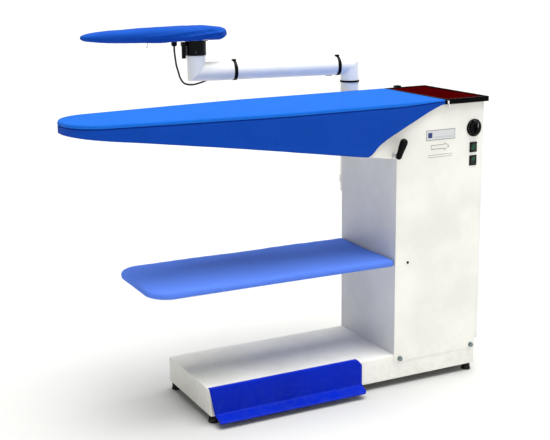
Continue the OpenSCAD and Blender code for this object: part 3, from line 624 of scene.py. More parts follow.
class Shape:
    """A mesh gathered from numpy grids."""

    def __init__(self, name: str) -> None:
        """Starts an empty shape."""
        self.name = name
        self.points: list[np.ndarray] = []
        self.faces: list[np.ndarray] = []
        self.uvs: list[np.ndarray] = []
        self.slots: list[np.ndarray] = []
        self.count = 0

    def grid(self, points: np.ndarray, uv: Optional[np.ndarray] = None, slot: int = 0) -> "Shape":
        """Adds a grid.

        Args:
            points: n by m by 3 positions.
            uv: n by m by 2 map in metres, or None for the place in X and Z.
            slot: material slot.

        Returns:
            The shape, for chaining.
        """
        n, m = points.shape[:2]
        i, j = np.meshgrid(np.arange(n - 1), np.arange(m - 1), indexing="ij")
        a = (i * m + j).ravel()
        quads = np.stack([a, a + m, a + m + 1, a + 1], 1)
        flat_uv = (points[..., (0, 2)] if uv is None else uv).reshape(-1, 2)
        self.points.append(points.reshape(-1, 3))
        self.uvs.append(flat_uv[quads].reshape(-1, 2))
        self.faces.append(quads + self.count)
        self.slots.append(np.full(len(quads), slot))
        self.count += n * m
        return self

    def box(self, low: Sequence[float], high: Sequence[float], slot: int = 0) -> "Shape":
        """Adds a closed box between two corners.

        Args:
            low: lowest corner.
            high: highest corner.
            slot: material slot.

        Returns:
            The shape.
        """
        sides = [(low[axis], high[axis]) for axis in range(3)]
        c = np.stack(np.meshgrid(*sides, indexing="ij"), -1).reshape(-1, 3).astype(float)
        quads = np.array([[0, 1, 3, 2], [4, 6, 7, 5], [0, 4, 5, 1], [2, 3, 7, 6], [0, 2, 6, 4], [1, 5, 7, 3]])
        self.points.append(c)
        self.uvs.append(c[quads][..., (0, 2)].reshape(-1, 2))
        self.faces.append(quads + self.count)
        self.slots.append(np.full(6, slot))
        self.count += 8
        return self

    def tube(self, path: np.ndarray, radius: float, sides: int = 16) -> "Shape":
        """Adds a closed tube of round rings square to the path.

        Each ring's two axes are cross products of the path's direction with a fixed helper axis.

        Args:
            path: n by 3 points.
            radius: radius of the rings.
            sides: steps around.

        Returns:
            The shape.
        """
        d = np.gradient(path, axis=0)
        d /= np.linalg.norm(d, axis=1, keepdims=True)
        helper = np.eye(3)[int(np.argmin(np.abs(d).max(0)))]
        a = np.cross(d, helper)
        a /= np.linalg.norm(a, axis=1, keepdims=True)
        b = np.cross(d, a)
        turn = np.linspace(0, 2 * math.pi, sides + 1)
        across = a[:, None] * np.cos(turn)[None, :, None] + b[:, None] * np.sin(turn)[None, :, None]
        first, last = np.repeat(path[:1, None], sides + 1, 1), np.repeat(path[-1:, None], sides + 1, 1)
        rings = np.concatenate([first, path[:, None] + radius * across, last])
        along = np.concatenate([[0], np.cumsum(np.linalg.norm(np.diff(path, axis=0), axis=1))])
        along = np.concatenate([along[:1], along, along[-1:]])
        uv = np.stack(np.broadcast_arrays(radius * turn[None, :], along[:, None]), -1)
        return self.grid(rings, uv)

    def turned(
        self, profile: np.ndarray, centre: Sequence[float], axis: int, sides: int = 64, flutes: int = 0,
        depth: float = 0.0,
    ) -> "Shape":
        """Adds a turned form.

        Args:
            profile: k by 2 distances along the axis and radii, starting and ending on the axis.
            centre: a point on the axis.
            axis: 0, 1 or 2.
            sides: steps around.
            flutes: number of hollows around the widest part.
            depth: depth of the hollows.

        Returns:
            The shape.
        """
        turn = np.linspace(0, 2 * math.pi, sides + 1)
        wide = ease(0.9, 0.98, profile[:, 1] / profile[:, 1].max())[:, None]
        cut = depth * wide * (0.5 - 0.5 * np.cos(flutes * turn))[None, :] ** 3 if flutes else 0.0
        r = profile[:, 1:2] - cut
        r = np.broadcast_to(r, (len(profile), sides + 1))
        out = np.zeros((len(profile), sides + 1, 3))
        out[..., axis] = profile[:, :1]
        out[..., (axis + 1) % 3] = r * np.cos(turn)
        out[..., (axis + 2) % 3] = r * np.sin(turn)
        out += np.asarray(centre, float)
        return self.grid(out)

    def make(
        self, *finishes: "Finish | Lens | Foil", wall: float = 0.0, bevel: float = 0.0, crease: float = 35.0
    ) -> bpy.types.Object:
        """Turns the gathered grids into an object at the origin.

        Args:
            finishes: one finish for each slot.
            wall: thickness laid inwards, 0 for none.
            bevel: width of the rounded edges, 0 for none.
            crease: angle in degrees above which an edge stays sharp.

        Returns:
            The object.
        """
        mesh = bpy.data.meshes.new(self.name)
        mesh.from_pydata(np.concatenate(self.points).tolist(), [], np.concatenate(self.faces).tolist())
        layer = mesh.uv_layers.new(name="cloth")
        layer.data.foreach_set("uv", np.concatenate(self.uvs).astype(np.float32).ravel())
        mesh.polygons.foreach_set("material_index", np.concatenate(self.slots).astype(np.int32))
        tidy_mesh(mesh)
        obj = bpy.data.objects.new(self.name, mesh)
        bpy.context.scene.collection.objects.link(obj)
        for finish in finishes:
            mesh.materials.append(Paint.of(finish))
        if wall:
            solid = obj.modifiers.new("wall", "SOLIDIFY")
            solid.thickness, solid.offset, solid.use_even_offset = wall, -1.0, True
        round_edges(obj, bevel, crease)
        return obj


def tidy_mesh(mesh: bpy.types.Mesh, gap: float = 2e-6) -> None:
    """Merges doubles, drops faces without area and turns the normals outwards.

    Args:
        mesh: the mesh, changed in place.
        gap: points closer than this are merged.
    """
    bm = bmesh.new()
    bm.from_mesh(mesh)
    bmesh.ops.remove_doubles(bm, verts=bm.verts, dist=gap)
    bmesh.ops.dissolve_degenerate(bm, edges=bm.edges, dist=gap)
    loose = [v for v in bm.verts if not v.link_faces]
    bmesh.ops.delete(bm, geom=loose, context="VERTS")
    bmesh.ops.recalc_face_normals(bm, faces=bm.faces)
    bm.to_mesh(mesh)
    bm.free()


def round_edges(obj: bpy.types.Object, width: float, angle: float = 35.0) -> None:
    """Smooth shading with sharp edges above the angle, and a bevel where width isn't 0.

    Args:
        obj: the object.
        width: width of the rounded edges.
        angle: edges sharper than this, in degrees, are rounded or stay sharp.
    """
    obj.data.polygons.foreach_set("use_smooth", np.ones(len(obj.data.polygons), bool))
    if width:
        bevel = obj.modifiers.new("edges", "BEVEL")
        bevel.width, bevel.segments, bevel.limit_method = width, 3, "ANGLE"
        bevel.angle_limit = math.radians(angle)
        bevel.harden_normals = True
    else:
        obj.data.set_sharp_from_angle(angle=math.radians(angle))


def dress(node: str, finish: "Finish | Lens | Foil") -> None:
    """Gives a CAD node its finish; its mesh stays as it is.

    Args:
        node: the CAD node.
        finish: its finish.
    """
    data = frame["nodes"][node].data
    data.materials.clear()
    data.materials.append(Paint.of(finish))


def rounded(
    nodes: Sequence[str], name: str, body: str, slot: str, finish: "Finish | Lens | Foil", width: float,
    angle: float = 35.0,
) -> bpy.types.Object:
    """A copy of CAD nodes, its triangles joined into flat faces and its edges rounded; it stands for them.

    Args:
        nodes: the CAD nodes.
        name: name of the piece.
        body: body that it rides on.
        slot: the record's material slot.
        finish: its finish.
        width: radius of the edges.
        angle: an edge sharper than this is rounded.

    Returns:
        The piece.
    """
    bm = bmesh.new()
    for node in nodes:
        bm.from_mesh(frame["nodes"][node].data)
    bmesh.ops.remove_doubles(bm, verts=bm.verts, dist=2e-6)
    bmesh.ops.dissolve_limit(bm, angle_limit=math.radians(0.5), verts=bm.verts, edges=bm.edges)
    mesh = bpy.data.meshes.new(name)
    bm.to_mesh(mesh)
    bm.free()
    for key in [a.name for a in mesh.attributes if a.name.startswith("custom")]:
        mesh.attributes.remove(mesh.attributes[key])
    obj = bpy.data.objects.new(name, mesh)
    bpy.context.scene.collection.objects.link(obj)
    mesh.polygons.foreach_set("material_index", np.zeros(len(mesh.polygons), np.int32))
    mesh.materials.append(Paint.of(finish))
    round_edges(obj, width, angle)
    return place(obj, body, slot, *nodes)


def place(obj: bpy.types.Object, body: str, slot: str, *stands_for: str) -> bpy.types.Object:
    """Puts a piece on its body and hides the CAD nodes that it stands for.

    Args:
        obj: the piece.
        body: body that it rides on.
        slot: the record's material slot; not used.
        stands_for: the CAD nodes that it replaces.

    Returns:
        The piece.
    """
    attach(obj, body)
    if stands_for:
        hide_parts(*stands_for)
    LOG.info("%s: %d faces on %s", obj.name, len(obj.data.polygons), body)
    return obj


def puff(obj: bpy.types.Object, voxel: float, cap: float, pressure: float = 4.0, frames: int = 20) -> None:
    """Fills a closed form like a stuffed cover.

    The form is remeshed, blown up as cloth without gravity, and each point's move is limited
    to the cap before it is written back.

    Args:
        obj: the closed form.
        voxel: size of the remesh.
        cap: farthest that a point may move.
        pressure: inner pressure of the cloth.
        frames: length of the simulation.
    """
    remesh = obj.modifiers.new("remesh", "REMESH")
    remesh.mode, remesh.voxel_size = "VOXEL", voxel
    bake_modifiers(obj)
    rest = coordinates(obj.data)
    cloth = obj.modifiers.new("cloth", "CLOTH")
    cloth.settings.use_pressure = True
    cloth.settings.uniform_pressure_force = pressure
    cloth.settings.effector_weights.gravity = 0.0
    cloth.point_cache.frame_start, cloth.point_cache.frame_end = 1, frames
    for number in range(1, frames + 1):
        bpy.context.scene.frame_set(number)
    seen = obj.evaluated_get(bpy.context.evaluated_depsgraph_get())
    moved = coordinates(seen.to_mesh()) - rest
    seen.to_mesh_clear()
    obj.modifiers.remove(cloth)
    bpy.context.scene.frame_set(1)
    far = np.linalg.norm(moved, axis=1, keepdims=True)
    moved *= np.minimum(1.0, cap / np.maximum(far, 1e-9))
    obj.data.vertices.foreach_set("co", (rest + moved).astype(np.float32).ravel())
    obj.data.update()


def coordinates(mesh: bpy.types.Mesh) -> np.ndarray:
    """A mesh's points as an n by 3 array.

    Args:
        mesh: the mesh.

    Returns:
        Its points.
    """
    out = np.zeros(len(mesh.vertices) * 3, np.float32)
    mesh.vertices.foreach_get("co", out)
    return out.reshape(-1, 3).astype(float)


def bake_modifiers(obj: bpy.types.Object) -> None:
    """Writes the modifiers' result into the mesh.

    Args:
        obj: the object, changed in place.
    """
    seen = obj.evaluated_get(bpy.context.evaluated_depsgraph_get())
    result = bpy.data.meshes.new_from_object(seen)
    old = obj.data
    obj.modifiers.clear()
    obj.data = result
    result.name = obj.name
    bpy.data.meshes.remove(old)


# ---- Sub-assemblies ----


def span(node: str) -> tuple[np.ndarray, np.ndarray]:
    """Lowest and highest corner of a CAD node, as arrays."""
    low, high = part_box(node)
    return np.array(low), np.array(high)


@dataclass
class Board:
    """Padded board: a tapered top with a round nose, and a fitted cover with a skirt."""

    nose_half: float = 0.110
    nose_length: float = 0.110
    taper_length: float = 0.640
    edge_radius: float = 0.007
    seam_depth: float = 0.0115
    corner: float = 0.007
    hem: float = 0.013
    taper_power: float = 1.15
    nose_power: float = 2.3
    nose_hem_height: float = 0.880
    rise_places: tuple = (-0.100, -0.073, -0.033, 0.034, 0.102, 0.154)
    rise_heights: tuple = (0.776, 0.800, 0.832, 0.865, 0.886)
    droop: float = 0.014
    droop_length: float = 0.6
    groove_depths: tuple = (0.0092, 0.0099, 0.0106, 0.0111)
    groove_pushes: tuple = (0.0004, 0.0011, 0.0009, -0.0008, -0.0042)
    tuck: float = 0.0016
    gather: float = 0.0009
    gather_pitch: float = 0.021
    cloth: float = 0.0013
    felt_inset: float = 0.0068

    def __post_init__(self) -> None:
        """Reads the board's place from the cover's box."""
        self.low, self.high = span("board_cover")
        self.mid = (self.low[1] + self.high[1]) / 2
        self.half = (self.high[1] - self.low[1]) / 2
        self.floor = span("duct_floor")[0][2]
        self.cabinet = span("cabinet_left")[0][0]

    def half_width(self, s: np.ndarray) -> np.ndarray:
        """Half width at distance s from the nose: a power taper times a superellipse nose.

        Args:
            s: distances from the nose.

        Returns:
            The half width at each.
        """
        share = 1 - np.clip(1 - s / self.taper_length, 0, 1) ** self.taper_power
        taper = self.nose_half + (self.half - self.nose_half) * share
        n = self.nose_power
        return taper * (1 - np.clip(1 - s / self.nose_length, 0, 1) ** n) ** (1 / n)

    def rim(self) -> tuple[np.ndarray, np.ndarray]:
        """Closed outline from the nose along the front, over the end and back, with its outward normals.

        Returns:
            The outline's points and its normals.
        """
        turn = np.linspace(0, math.pi / 2, 30)
        length = self.high[0] - self.low[0]
        straight = np.linspace(self.nose_length, length - self.corner, 110)[1:]
        s = np.concatenate([self.nose_length * (1 - np.cos(turn)), straight])
        side = np.stack([self.low[0] + s, -self.half_width(s)], 1)
        arc = np.linspace(0, math.pi / 2, 6)[1:]
        corner = np.stack(
            [self.high[0] - self.corner * (1 - np.sin(arc)), -self.half + self.corner * (1 - np.cos(arc))], 1
        )
        end = np.stack([np.full(17, self.high[0]), np.linspace(-self.half + self.corner, 0, 18)[1:]], 1)
        front = np.concatenate([side, corner, end])
        loop = np.concatenate([front, (front * [1, -1])[::-1][1:]])
        step = np.roll(loop[:-1], -1, 0) - np.roll(loop[:-1], 1, 0)
        normal = np.stack([step[:, 1], -step[:, 0]], 1)
        normal /= np.linalg.norm(normal, axis=1, keepdims=True)
        normal = np.concatenate([normal, normal[:1]])
        return loop + [0, self.mid], normal

    def hem_height(self, x: np.ndarray) -> np.ndarray:
        """Height of the skirt's lower edge.

        It follows the duct's floor line and then rises to the board's end; a running mean rounds the
        bends, and a power of the distance lowers the part near the nose.

        Args:
            x: places along the board.

        Returns:
            The height at each place.
        """
        slope = (self.nose_hem_height - self.floor) / (self.cabinet - self.low[0])
        margin = 0.05
        xs = np.linspace(self.low[0] - margin, self.high[0] + margin, 900)
        stops = self.cabinet + np.array(self.rise_places)
        line = self.floor + slope * (self.cabinet - xs)
        heights = np.array([self.floor - slope * self.rise_places[0], *self.rise_heights])
        rise = np.interp(xs, stops, heights)
        rise = np.where(xs < stops[0], line, rise)
        reach = 9
        window = np.ones(2 * reach + 1) / (2 * reach + 1)
        smooth = np.convolve(np.pad(rise, reach, mode="edge"), window, "valid")
        droop = self.droop * (1 - np.clip((x - self.low[0]) / self.droop_length, 0, 1)) ** 1.5
        return np.interp(x, xs, smooth) - droop

    def build(self) -> None:
        """Top sheet, edge roll and skirt as one cover."""
        loop, normal = self.rim()
        arc = np.concatenate([[0], np.cumsum(np.linalg.norm(np.diff(loop, axis=0), axis=1))])
        top = self.high[2]
        # The groove is shallower towards the wide end.
        shallow = 1 - 0.55 * ease(self.high[0] - 0.17, self.high[0] - 0.005, loop[:, 0])[:, None]
        spine_x = np.clip(loop[:, 0], self.low[0] + self.nose_length, self.high[0] - self.half)
        spine = np.stack([spine_x, np.full(len(loop), self.mid)], 1)
        inner = loop - normal * self.edge_radius
        t = np.linspace(0, 1, 26)[None, :, None]
        flat = spine[:, None] + (inner - spine)[:, None] * t
        # The top lies flat at its rim and waves slightly elsewhere.
        calm = 1 - ease(0.80, 1.0, t[..., 0])
        z = top + 0.0004 * calm + 0.0005 * calm * ripple(flat[..., 0], flat[..., 1], 3, 7, 0.30)
        upper = np.concatenate([flat, z[..., None]], 2)
        swing = np.linspace(0, math.pi / 2, 7)[1:]
        out = -self.edge_radius * (1 - np.sin(swing))
        down = self.edge_radius * (1 - np.cos(swing))
        roll = loop[:, None] + normal[:, None] * out[None, :, None]
        roll = np.concatenate([roll, (top - down * shallow)[..., None]], 2)
        upper = np.concatenate([upper, roll], 1)
        depth = np.array([*self.groove_depths, self.seam_depth])
        push = np.array(self.groove_pushes)
        band = loop[:, None] + normal[:, None] * push[None, :, None]
        band = np.concatenate([band, (top - depth * shallow)[..., None]], 2)
        upper = np.concatenate([upper, band], 1)
        shape = Shape("board_cover_cloth").grid(upper, upper[..., :2], 0)
        seam = top - self.seam_depth * shallow
        hem_z = np.minimum(self.hem_height(loop[:, 0]), seam[:, 0] - 0.0012)
        fall = seam[:, 0] - hem_z
        rows = np.linspace(0, 1, 36) ** 1.25
        drop = rows[None, :] * fall[:, None]
        above_hem = fall[:, None] - drop
        swell = 0.0044 * ease(0, 0.0042, drop) - 0.0042
        tucks = self.tuck * ripple(arc[:, None] * np.ones_like(drop), drop * 0.18, 11, 8, 0.21)
        phase = arc[:, None] * 2 * math.pi / self.gather_pitch
        gathers = self.gather * np.sin(phase + 0.8 * np.sin(arc[:, None] * 31))
        nose = 1 - ease(0.10, 0.30, loop[:, 0] - self.low[0])[:, None]
        slack = ease(0.004, 0.05, drop) * ease(0.0, 0.03, fall)[:, None]
        offset = swell + slack * (tucks - 0.0022 * ease(0, 0.12, drop))
        offset += nose * gathers * ease(0.002, 0.012, drop) * 0.6
        hem = 1 - ease(self.hem - 0.0018, self.hem + 0.0006, above_hem)
        offset += 0.0007 * hem * slack
        offset = np.minimum(offset, 0.0012)
        skirt = loop[:, None] + normal[:, None] * offset[..., None]
        skirt = np.concatenate([skirt, (seam - drop)[..., None]], 2)
        uv = np.stack([arc[:, None] * np.ones_like(drop), drop], -1)
        shape.grid(skirt, uv, 1)
        # The skirt's slot takes the darker copy of the cover's cloth, which paints in its shade.
        cover = shape.make(Finish.COVER, Finish.SKIRT_SHADED, wall=self.cloth, crease=60)
        place(cover, "table", "board_cloth", "board_cover")
        self.pad(loop, normal, spine)

    def pad(self, loop: np.ndarray, normal: np.ndarray, spine: np.ndarray) -> None:
        """Felt under the cover: the same outline drawn in, with a round upper edge and a flat underside.

        Args:
            loop: the board's outline.
            normal: its outward normals.
            spine: the point on the middle line that belongs to each of its points.
        """
        low, high = span("board_pad")
        turn = np.linspace(0, math.pi / 2, 7)
        inset = np.concatenate([self.felt_inset + 0.004 * (1 - np.sin(turn)), [self.felt_inset] * 2])
        edge_z = high[2] - 0.0004 - 0.006 * (1 - np.cos(turn))
        level = np.concatenate([edge_z, [low[2] + 0.004, low[2] + 0.0002]])
        edge = loop[:, None] - normal[:, None] * inset[None, :, None]
        t = np.linspace(0, 1, 8)[:-1]
        middle = spine[:, None] + (edge[:, :1] - spine[:, None]) * t[None, :, None]
        under = spine[:, None] + (edge[:, -1:] - spine[:, None]) * t[::-1][None, :, None]
        flat = np.concatenate([middle, edge, under], 1)
        z = np.concatenate([np.full(7, level[0]), level, np.full(7, level[-1])])
        points = np.concatenate([flat, np.broadcast_to(z, flat.shape[:2])[..., None]], 2)
        felt = Shape("board_felt").grid(points, points[..., :2]).make(Finish.FELT, crease=60)
        place(felt, "table", "felt", "board_pad")


@dataclass
class Shelf:
    """Storage shelf: a thin foam pad in a cloth cover with round corners at its free end."""

    corner: float = 0.070
    over: float = 0.003
    rise: float = 0.005
    square: float = 0.62

    def build(self) -> None:
        """A crowned closed form round the pad's outline, filled by simulation."""
        low, high = span("shelf_pad")
        mid, half = (low[1] + high[1]) / 2, (high[1] - low[1]) / 2
        r = self.corner
        arc = np.linspace(0, math.pi / 2, 14)
        x0, x1, h = low[0] - 2 * self.over, high[0] - 0.0005, half + self.over
        end = np.stack([np.full(14, x0), np.linspace(0, -h + r, 14)], 1)
        bend = np.stack([x0 + r * (1 - np.cos(arc)), -h + r - r * np.sin(arc)], 1)[1:]
        side = np.stack([np.linspace(x0 + r, x1, 60)[1:], np.full(59, -h)], 1)
        face = np.stack([np.full(14, x1), np.linspace(-h, 0, 15)[1:]], 1)
        front = np.concatenate([end, bend, side, face])
        loop = np.concatenate([front, (front * [1, -1])[::-1][1:]]) + [0, mid]
        spine = np.stack([np.clip(loop[:, 0], x0 + h, x1 - h), np.full(len(loop), mid)], 1)
        thick = high[2] - low[2] - 0.001
        turn = np.linspace(0, math.pi, 15)
        inward = 0.5 * thick * (1 - np.abs(np.sin(turn)) ** self.square) * 0.95
        lift = np.sign(np.cos(turn)) * np.abs(np.cos(turn)) ** self.square
        level = low[2] + 0.0005 + 0.5 * thick * (1 + lift)
        reach = np.linalg.norm(loop - spine, axis=1)
        top_rows = np.linspace(0, 1, 10)[:-1]
        share = 1 - inward[None, :] / reach[:, None]
        rows = [spine[:, None] + (loop - spine)[:, None] * (top_rows[None, :] * share[:, :1])[..., None]]
        rows.append(spine[:, None] + (loop - spine)[:, None] * share[..., None])
        under = (top_rows[::-1][None, :] * share[:, -1:])[..., None]
        rows.append(spine[:, None] + (loop - spine)[:, None] * under)
        flat = np.concatenate(rows, 1)
        z = np.concatenate([np.full(9, level[0]), level, np.full(9, level[-1])])
        points = np.concatenate([flat, np.broadcast_to(z, flat.shape[:2])[..., None]], 2)
        pad = Shape("shelf_cloth_pad").grid(points, points[..., :2]).make(Finish.SHELF)
        puff(pad, 0.0050, 0.0016)
        self.finish(pad, low, high)
        place(pad, "table", "shelf_cloth", "shelf_pad")

    def finish(self, pad: bpy.types.Object, low: np.ndarray, high: np.ndarray) -> None:
        """Keeps the pad clear of the cabinet, adds slight waves and maps the weave.

        Args:
            pad: the pad.
            low: lowest corner of the CAD pad.
            high: its highest corner.
        """
        co = coordinates(pad.data)
        upper = ease(low[2] + 0.010, high[2] - 0.004, co[:, 2])
        co[:, 2] += upper * 0.0011 * ripple(co[:, 0], co[:, 1], 21, 8, 0.24)
        co[:, 2] += self.rise * (high[0] - co[:, 0]) / (high[0] - low[0])
        co[:, 0] = np.minimum(co[:, 0], high[0] - 0.0003)
        pad.data.vertices.foreach_set("co", co.astype(np.float32).ravel())
        pad.data.update()
        map_weave(pad.data)
        round_edges(pad, 0.0, 80)
        sub = pad.modifiers.new("smooth", "SUBSURF")
        sub.levels = sub.render_levels = 1


def map_weave(mesh: bpy.types.Mesh) -> None:
    """UV map in metres: each face takes the two axes that it faces least.

    Args:
        mesh: the mesh, changed in place.
    """
    co = coordinates(mesh)
    loops = np.zeros(len(mesh.loops), np.int32)
    mesh.loops.foreach_get("vertex_index", loops)
    normals = np.zeros(len(mesh.polygons) * 3, np.float32)
    mesh.polygons.foreach_get("normal", normals)
    totals = np.zeros(len(mesh.polygons), np.int32)
    mesh.polygons.foreach_get("loop_total", totals)
    main = np.abs(normals.reshape(-1, 3)).argmax(1)
    pairs = np.array([[1, 2], [0, 2], [0, 1]])[np.repeat(main, totals)]
    uv = np.take_along_axis(co[loops], pairs, 1)
    layer = mesh.uv_layers.get("cloth") or mesh.uv_layers.new(name="cloth")
    layer.data.foreach_set("uv", uv.astype(np.float32).ravel())


@dataclass
class SleevePad:
    """Padded sleeve board on the arm: narrow round nose, wide round end, cover gathered below."""

    nose_radius: float = 0.034
    widen: float = 0.230
    form_inset: float = 0.0015
    reach: float = 0.009
    # Long folds: start in X, height there, width and depth.
    fold_lines: tuple = (
        (-0.225, 0.010, 0.0032, 0.0034), (-0.160, 0.004, 0.0026, 0.0020), (-0.330, 0.015, 0.004, 0.0014),
    )
    fold_slope: float = 0.085
    cord_radius: float = 0.0009

    def levels(self, x: np.ndarray, low: np.ndarray, high: np.ndarray) -> tuple[np.ndarray, np.ndarray]:
        """Heights of the two skins, which close in towards the nose and a little at the wide end.

        Args:
            x: places along the pad.
            low: lowest corner of the CAD pad.
            high: its highest corner.

        Returns:
            The upper and the lower heights.
        """
        s = (x - low[0]) / (high[0] - low[0])
        nose = (1 - np.clip(s / 0.45, 0, 1)) ** 1.4
        upper = high[2] - 0.0008 - 0.0108 * nose - 0.006 * ease(0.82, 1.0, s)
        lower = low[2] + 0.0012 + 0.0120 * nose + 0.004 * ease(0.93, 1.0, s)
        return upper, lower

    def outline(self, low: np.ndarray, high: np.ndarray) -> np.ndarray:
        """Closed outline: half circles at both ends joined by a straight taper and a straight side.

        Args:
            low: lowest corner of the CAD pad.
            high: its highest corner.

        Returns:
            n by 2 points.
        """
        mid, wide = (low[1] + high[1]) / 2, (high[1] - low[1]) / 2 - self.form_inset
        r = self.nose_radius - self.form_inset
        xn, xe = low[0] + self.nose_radius - self.reach, high[0] - (high[1] - low[1]) / 2
        a = np.linspace(math.pi, math.pi * 1.5, 12)
        nose = np.stack([xn + r * np.cos(a), r * np.sin(a)], 1)
        xs = np.linspace(xn, xn + self.widen, 22)[1:]
        taper = np.stack([xs, -(r + (wide - r) * ((xs - xn) / self.widen))], 1)
        straight = np.stack([np.linspace(xn + self.widen, xe, 12)[1:], np.full(11, -wide)], 1)
        b = np.linspace(math.pi * 1.5, math.pi * 2, 18)[1:]
        end = np.stack([xe + wide * np.cos(b), wide * np.sin(b)], 1)
        half = np.concatenate([nose, taper, straight, end])
        return np.concatenate([half, (half * [1, -1])[::-1][1:]]) + [0, mid]

    def build(self) -> None:
        """A crowned closed form, filled by simulation, with folds, a gathered hem and a drawcord."""
        low, high = span("sleeve_pad")
        loop = self.outline(low, high)
        mid = (low[1] + high[1]) / 2
        xs = loop[:, 0]
        spine = np.stack([np.clip(xs, low[0] + 0.05, high[0] - 0.06), np.full(len(loop), mid)], 1)
        top_end, base_end = self.levels(xs, low, high)
        turn = np.linspace(0, math.pi, 15)
        mid_z, half_z = (top_end + base_end) / 2, (top_end - base_end) / 2
        reach = np.linalg.norm(loop - spine, axis=1)
        inward = half_z[:, None] * (1 - np.abs(np.sin(turn))[None, :] ** 0.8) * 0.9
        share = 1 - inward / reach[:, None]
        level = mid_z[:, None] + half_z[:, None] * np.sign(np.cos(turn)) * np.abs(np.cos(turn)) ** 0.9
        t = np.linspace(0, 1, 9)[:-1]
        parts = [
            spine[:, None] + (loop - spine)[:, None] * (t[None, :] * share[:, :1])[..., None],
            spine[:, None] + (loop - spine)[:, None] * share[..., None],
            spine[:, None] + (loop - spine)[:, None] * (t[::-1][None, :] * share[:, -1:])[..., None],
        ]
        flat = np.concatenate(parts, 1)
        z = np.concatenate([np.repeat(level[:, :1], 8, 1), level, np.repeat(level[:, -1:], 8, 1)], 1)
        centre_top, centre_low = self.levels(flat[..., 0], low, high)
        z[:, :8] = centre_top[:, :8] * (1 - t) + z[:, :8] * t
        z[:, -8:] = centre_low[:, -8:] * (1 - t[::-1]) + z[:, -8:] * t[::-1]
        points = np.concatenate([flat, z[..., None]], 2)
        pad = Shape("sleeve_cloth_pad").grid(points, points[..., :2]).make(Finish.SLEEVE)
        puff(pad, 0.0042, 0.0030)
        self.folds(pad, low, high)
        place(pad, "sleeve", "sleeve_cloth", "sleeve_pad")
        self.drawcord(low, high)

    def folds(self, pad: bpy.types.Object, low: np.ndarray, high: np.ndarray) -> None:
        """Diagonal folds near the wide end, small gathers round the lower edge, and the hem's line.

        Args:
            pad: the pad, changed in place.
            low: lowest corner of the CAD pad.
            high: its highest corner.
        """
        sub = pad.modifiers.new("finer", "SUBSURF")
        sub.levels = sub.render_levels = 1
        bake_modifiers(pad)
        co = coordinates(pad.data)
        normal = np.zeros(len(co) * 3, np.float32)
        pad.data.vertices.foreach_get("normal", normal)
        normal = normal.reshape(-1, 3)
        x, y, z = co.T
        mid = (low[1] + high[1]) / 2
        angle = np.arctan2(y - mid, x - (low[0] + high[0]) / 2)
        lower = 1 - ease(low[2] + 0.004, low[2] + 0.020, z)
        push = 0.0011 * lower * np.sin(angle * 74 + 2.2 * np.sin(angle * 11))
        diagonal = np.sin((x * 0.9 + y * 0.55 + z * 1.4) * 2 * math.pi / 0.034 + 1.3 * np.sin(x * 40))
        push += 0.0006 * ease(high[0] - 0.20, high[0] - 0.05, x) * diagonal * np.abs(diagonal)
        within = (z > low[2]) & (z < high[2])
        for start, lift, width, height in self.fold_lines:
            line = low[2] + lift + self.fold_slope * (x - start)
            reach = ease(start, start + 0.06, x) * (1 - ease(high[0] - 0.035, high[0] - 0.01, x))
            ridge = np.exp(-(((z - line) / width) ** 2)) * np.where(y < mid, 1.0, 0.6)
            push += height * within * reach * ridge
        push += 0.0010 * ripple(x, y, 5, 7, 0.20)
        co += normal * push[:, None]
        co[:, 2] = np.maximum(co[:, 2], low[2] + 0.0004)
        s = (co[:, 0] - low[0]) / (high[0] - low[0])
        sag = ease(0.34, 0.47, s) * (1 - ease(0.50, 0.585, s)) * (1 - ease(0.002, 0.012, co[:, 2] - low[2]))
        co[:, 2] -= 0.0032 * sag * (1 - ease(mid - 0.048, mid - 0.030, co[:, 1]))
        pad.data.vertices.foreach_set("co", co.astype(np.float32).ravel())
        pad.data.update()
        map_weave(pad.data)
        round_edges(pad, 0.0, 80)

    def drawcord(self, low: np.ndarray, high: np.ndarray) -> None:
        """End of the drawcord that gathers the cover: a knot and a short tail under the pad.

        Args:
            low: lowest corner of the CAD pad.
            high: its highest corner.
        """
        start = np.array([low[0] + 0.193, (low[1] + high[1]) / 2 - 0.040, low[2] + 0.005])
        t = np.linspace(0, 1, 24)[:, None]
        tail = start + np.hstack([0.002 * np.sin(t * 5), 0.002 * np.sin(t * 4 + 1), -0.019 * t])
        cord = Shape("sleeve_drawcord").tube(tail, self.cord_radius, 10)
        knot = np.linspace(0, 4 * math.pi, 40)[:, None]
        twist = np.hstack([0.0014 * np.cos(knot), 0.0014 * np.sin(knot), 0.0004 * (knot - 2 * math.pi) / 3])
        cord.tube(tail[-2:-1] + twist, self.cord_radius, 8)
        place(cord.make(Finish.CORD), "sleeve", "sleeve_cloth")


def bent(points: Sequence[Sequence[float]], radius: float, steps: int = 6) -> np.ndarray:
    """Polyline whose inner corners are quadratic curves that start and end one radius from the corner.

    Args:
        points: the corners.
        radius: distance from a corner at which its curve starts.
        steps: points on each curve.

    Returns:
        The rounded line.
    """
    p = np.asarray(points, float)
    t = np.linspace(0, 1, steps)[:, None]
    runs = [p[:1]]
    for before, at, after in zip(p[:-2], p[1:-1], p[2:]):
        a = at + (before - at) * min(0.45, radius / np.linalg.norm(before - at))
        b = at + (after - at) * min(0.45, radius / np.linalg.norm(after - at))
        runs.append((1 - t) ** 2 * a + 2 * t * (1 - t) * at + t**2 * b)
    runs.append(p[-1:])
    return np.concatenate(runs)


def face_towards(obj: bpy.types.Object, way: Sequence[float]) -> None:
    """Turns an open sheet's faces so that most of its area looks the given way.

    Args:
        obj: the sheet.
        way: the direction.
    """
    mesh = obj.data
    normals = np.zeros(len(mesh.polygons) * 3, np.float32)
    areas = np.zeros(len(mesh.polygons), np.float32)
    mesh.polygons.foreach_get("normal", normals)
    mesh.polygons.foreach_get("area", areas)
    if (areas @ normals.reshape(-1, 3)) @ np.asarray(way) < 0:
        mesh.flip_normals()


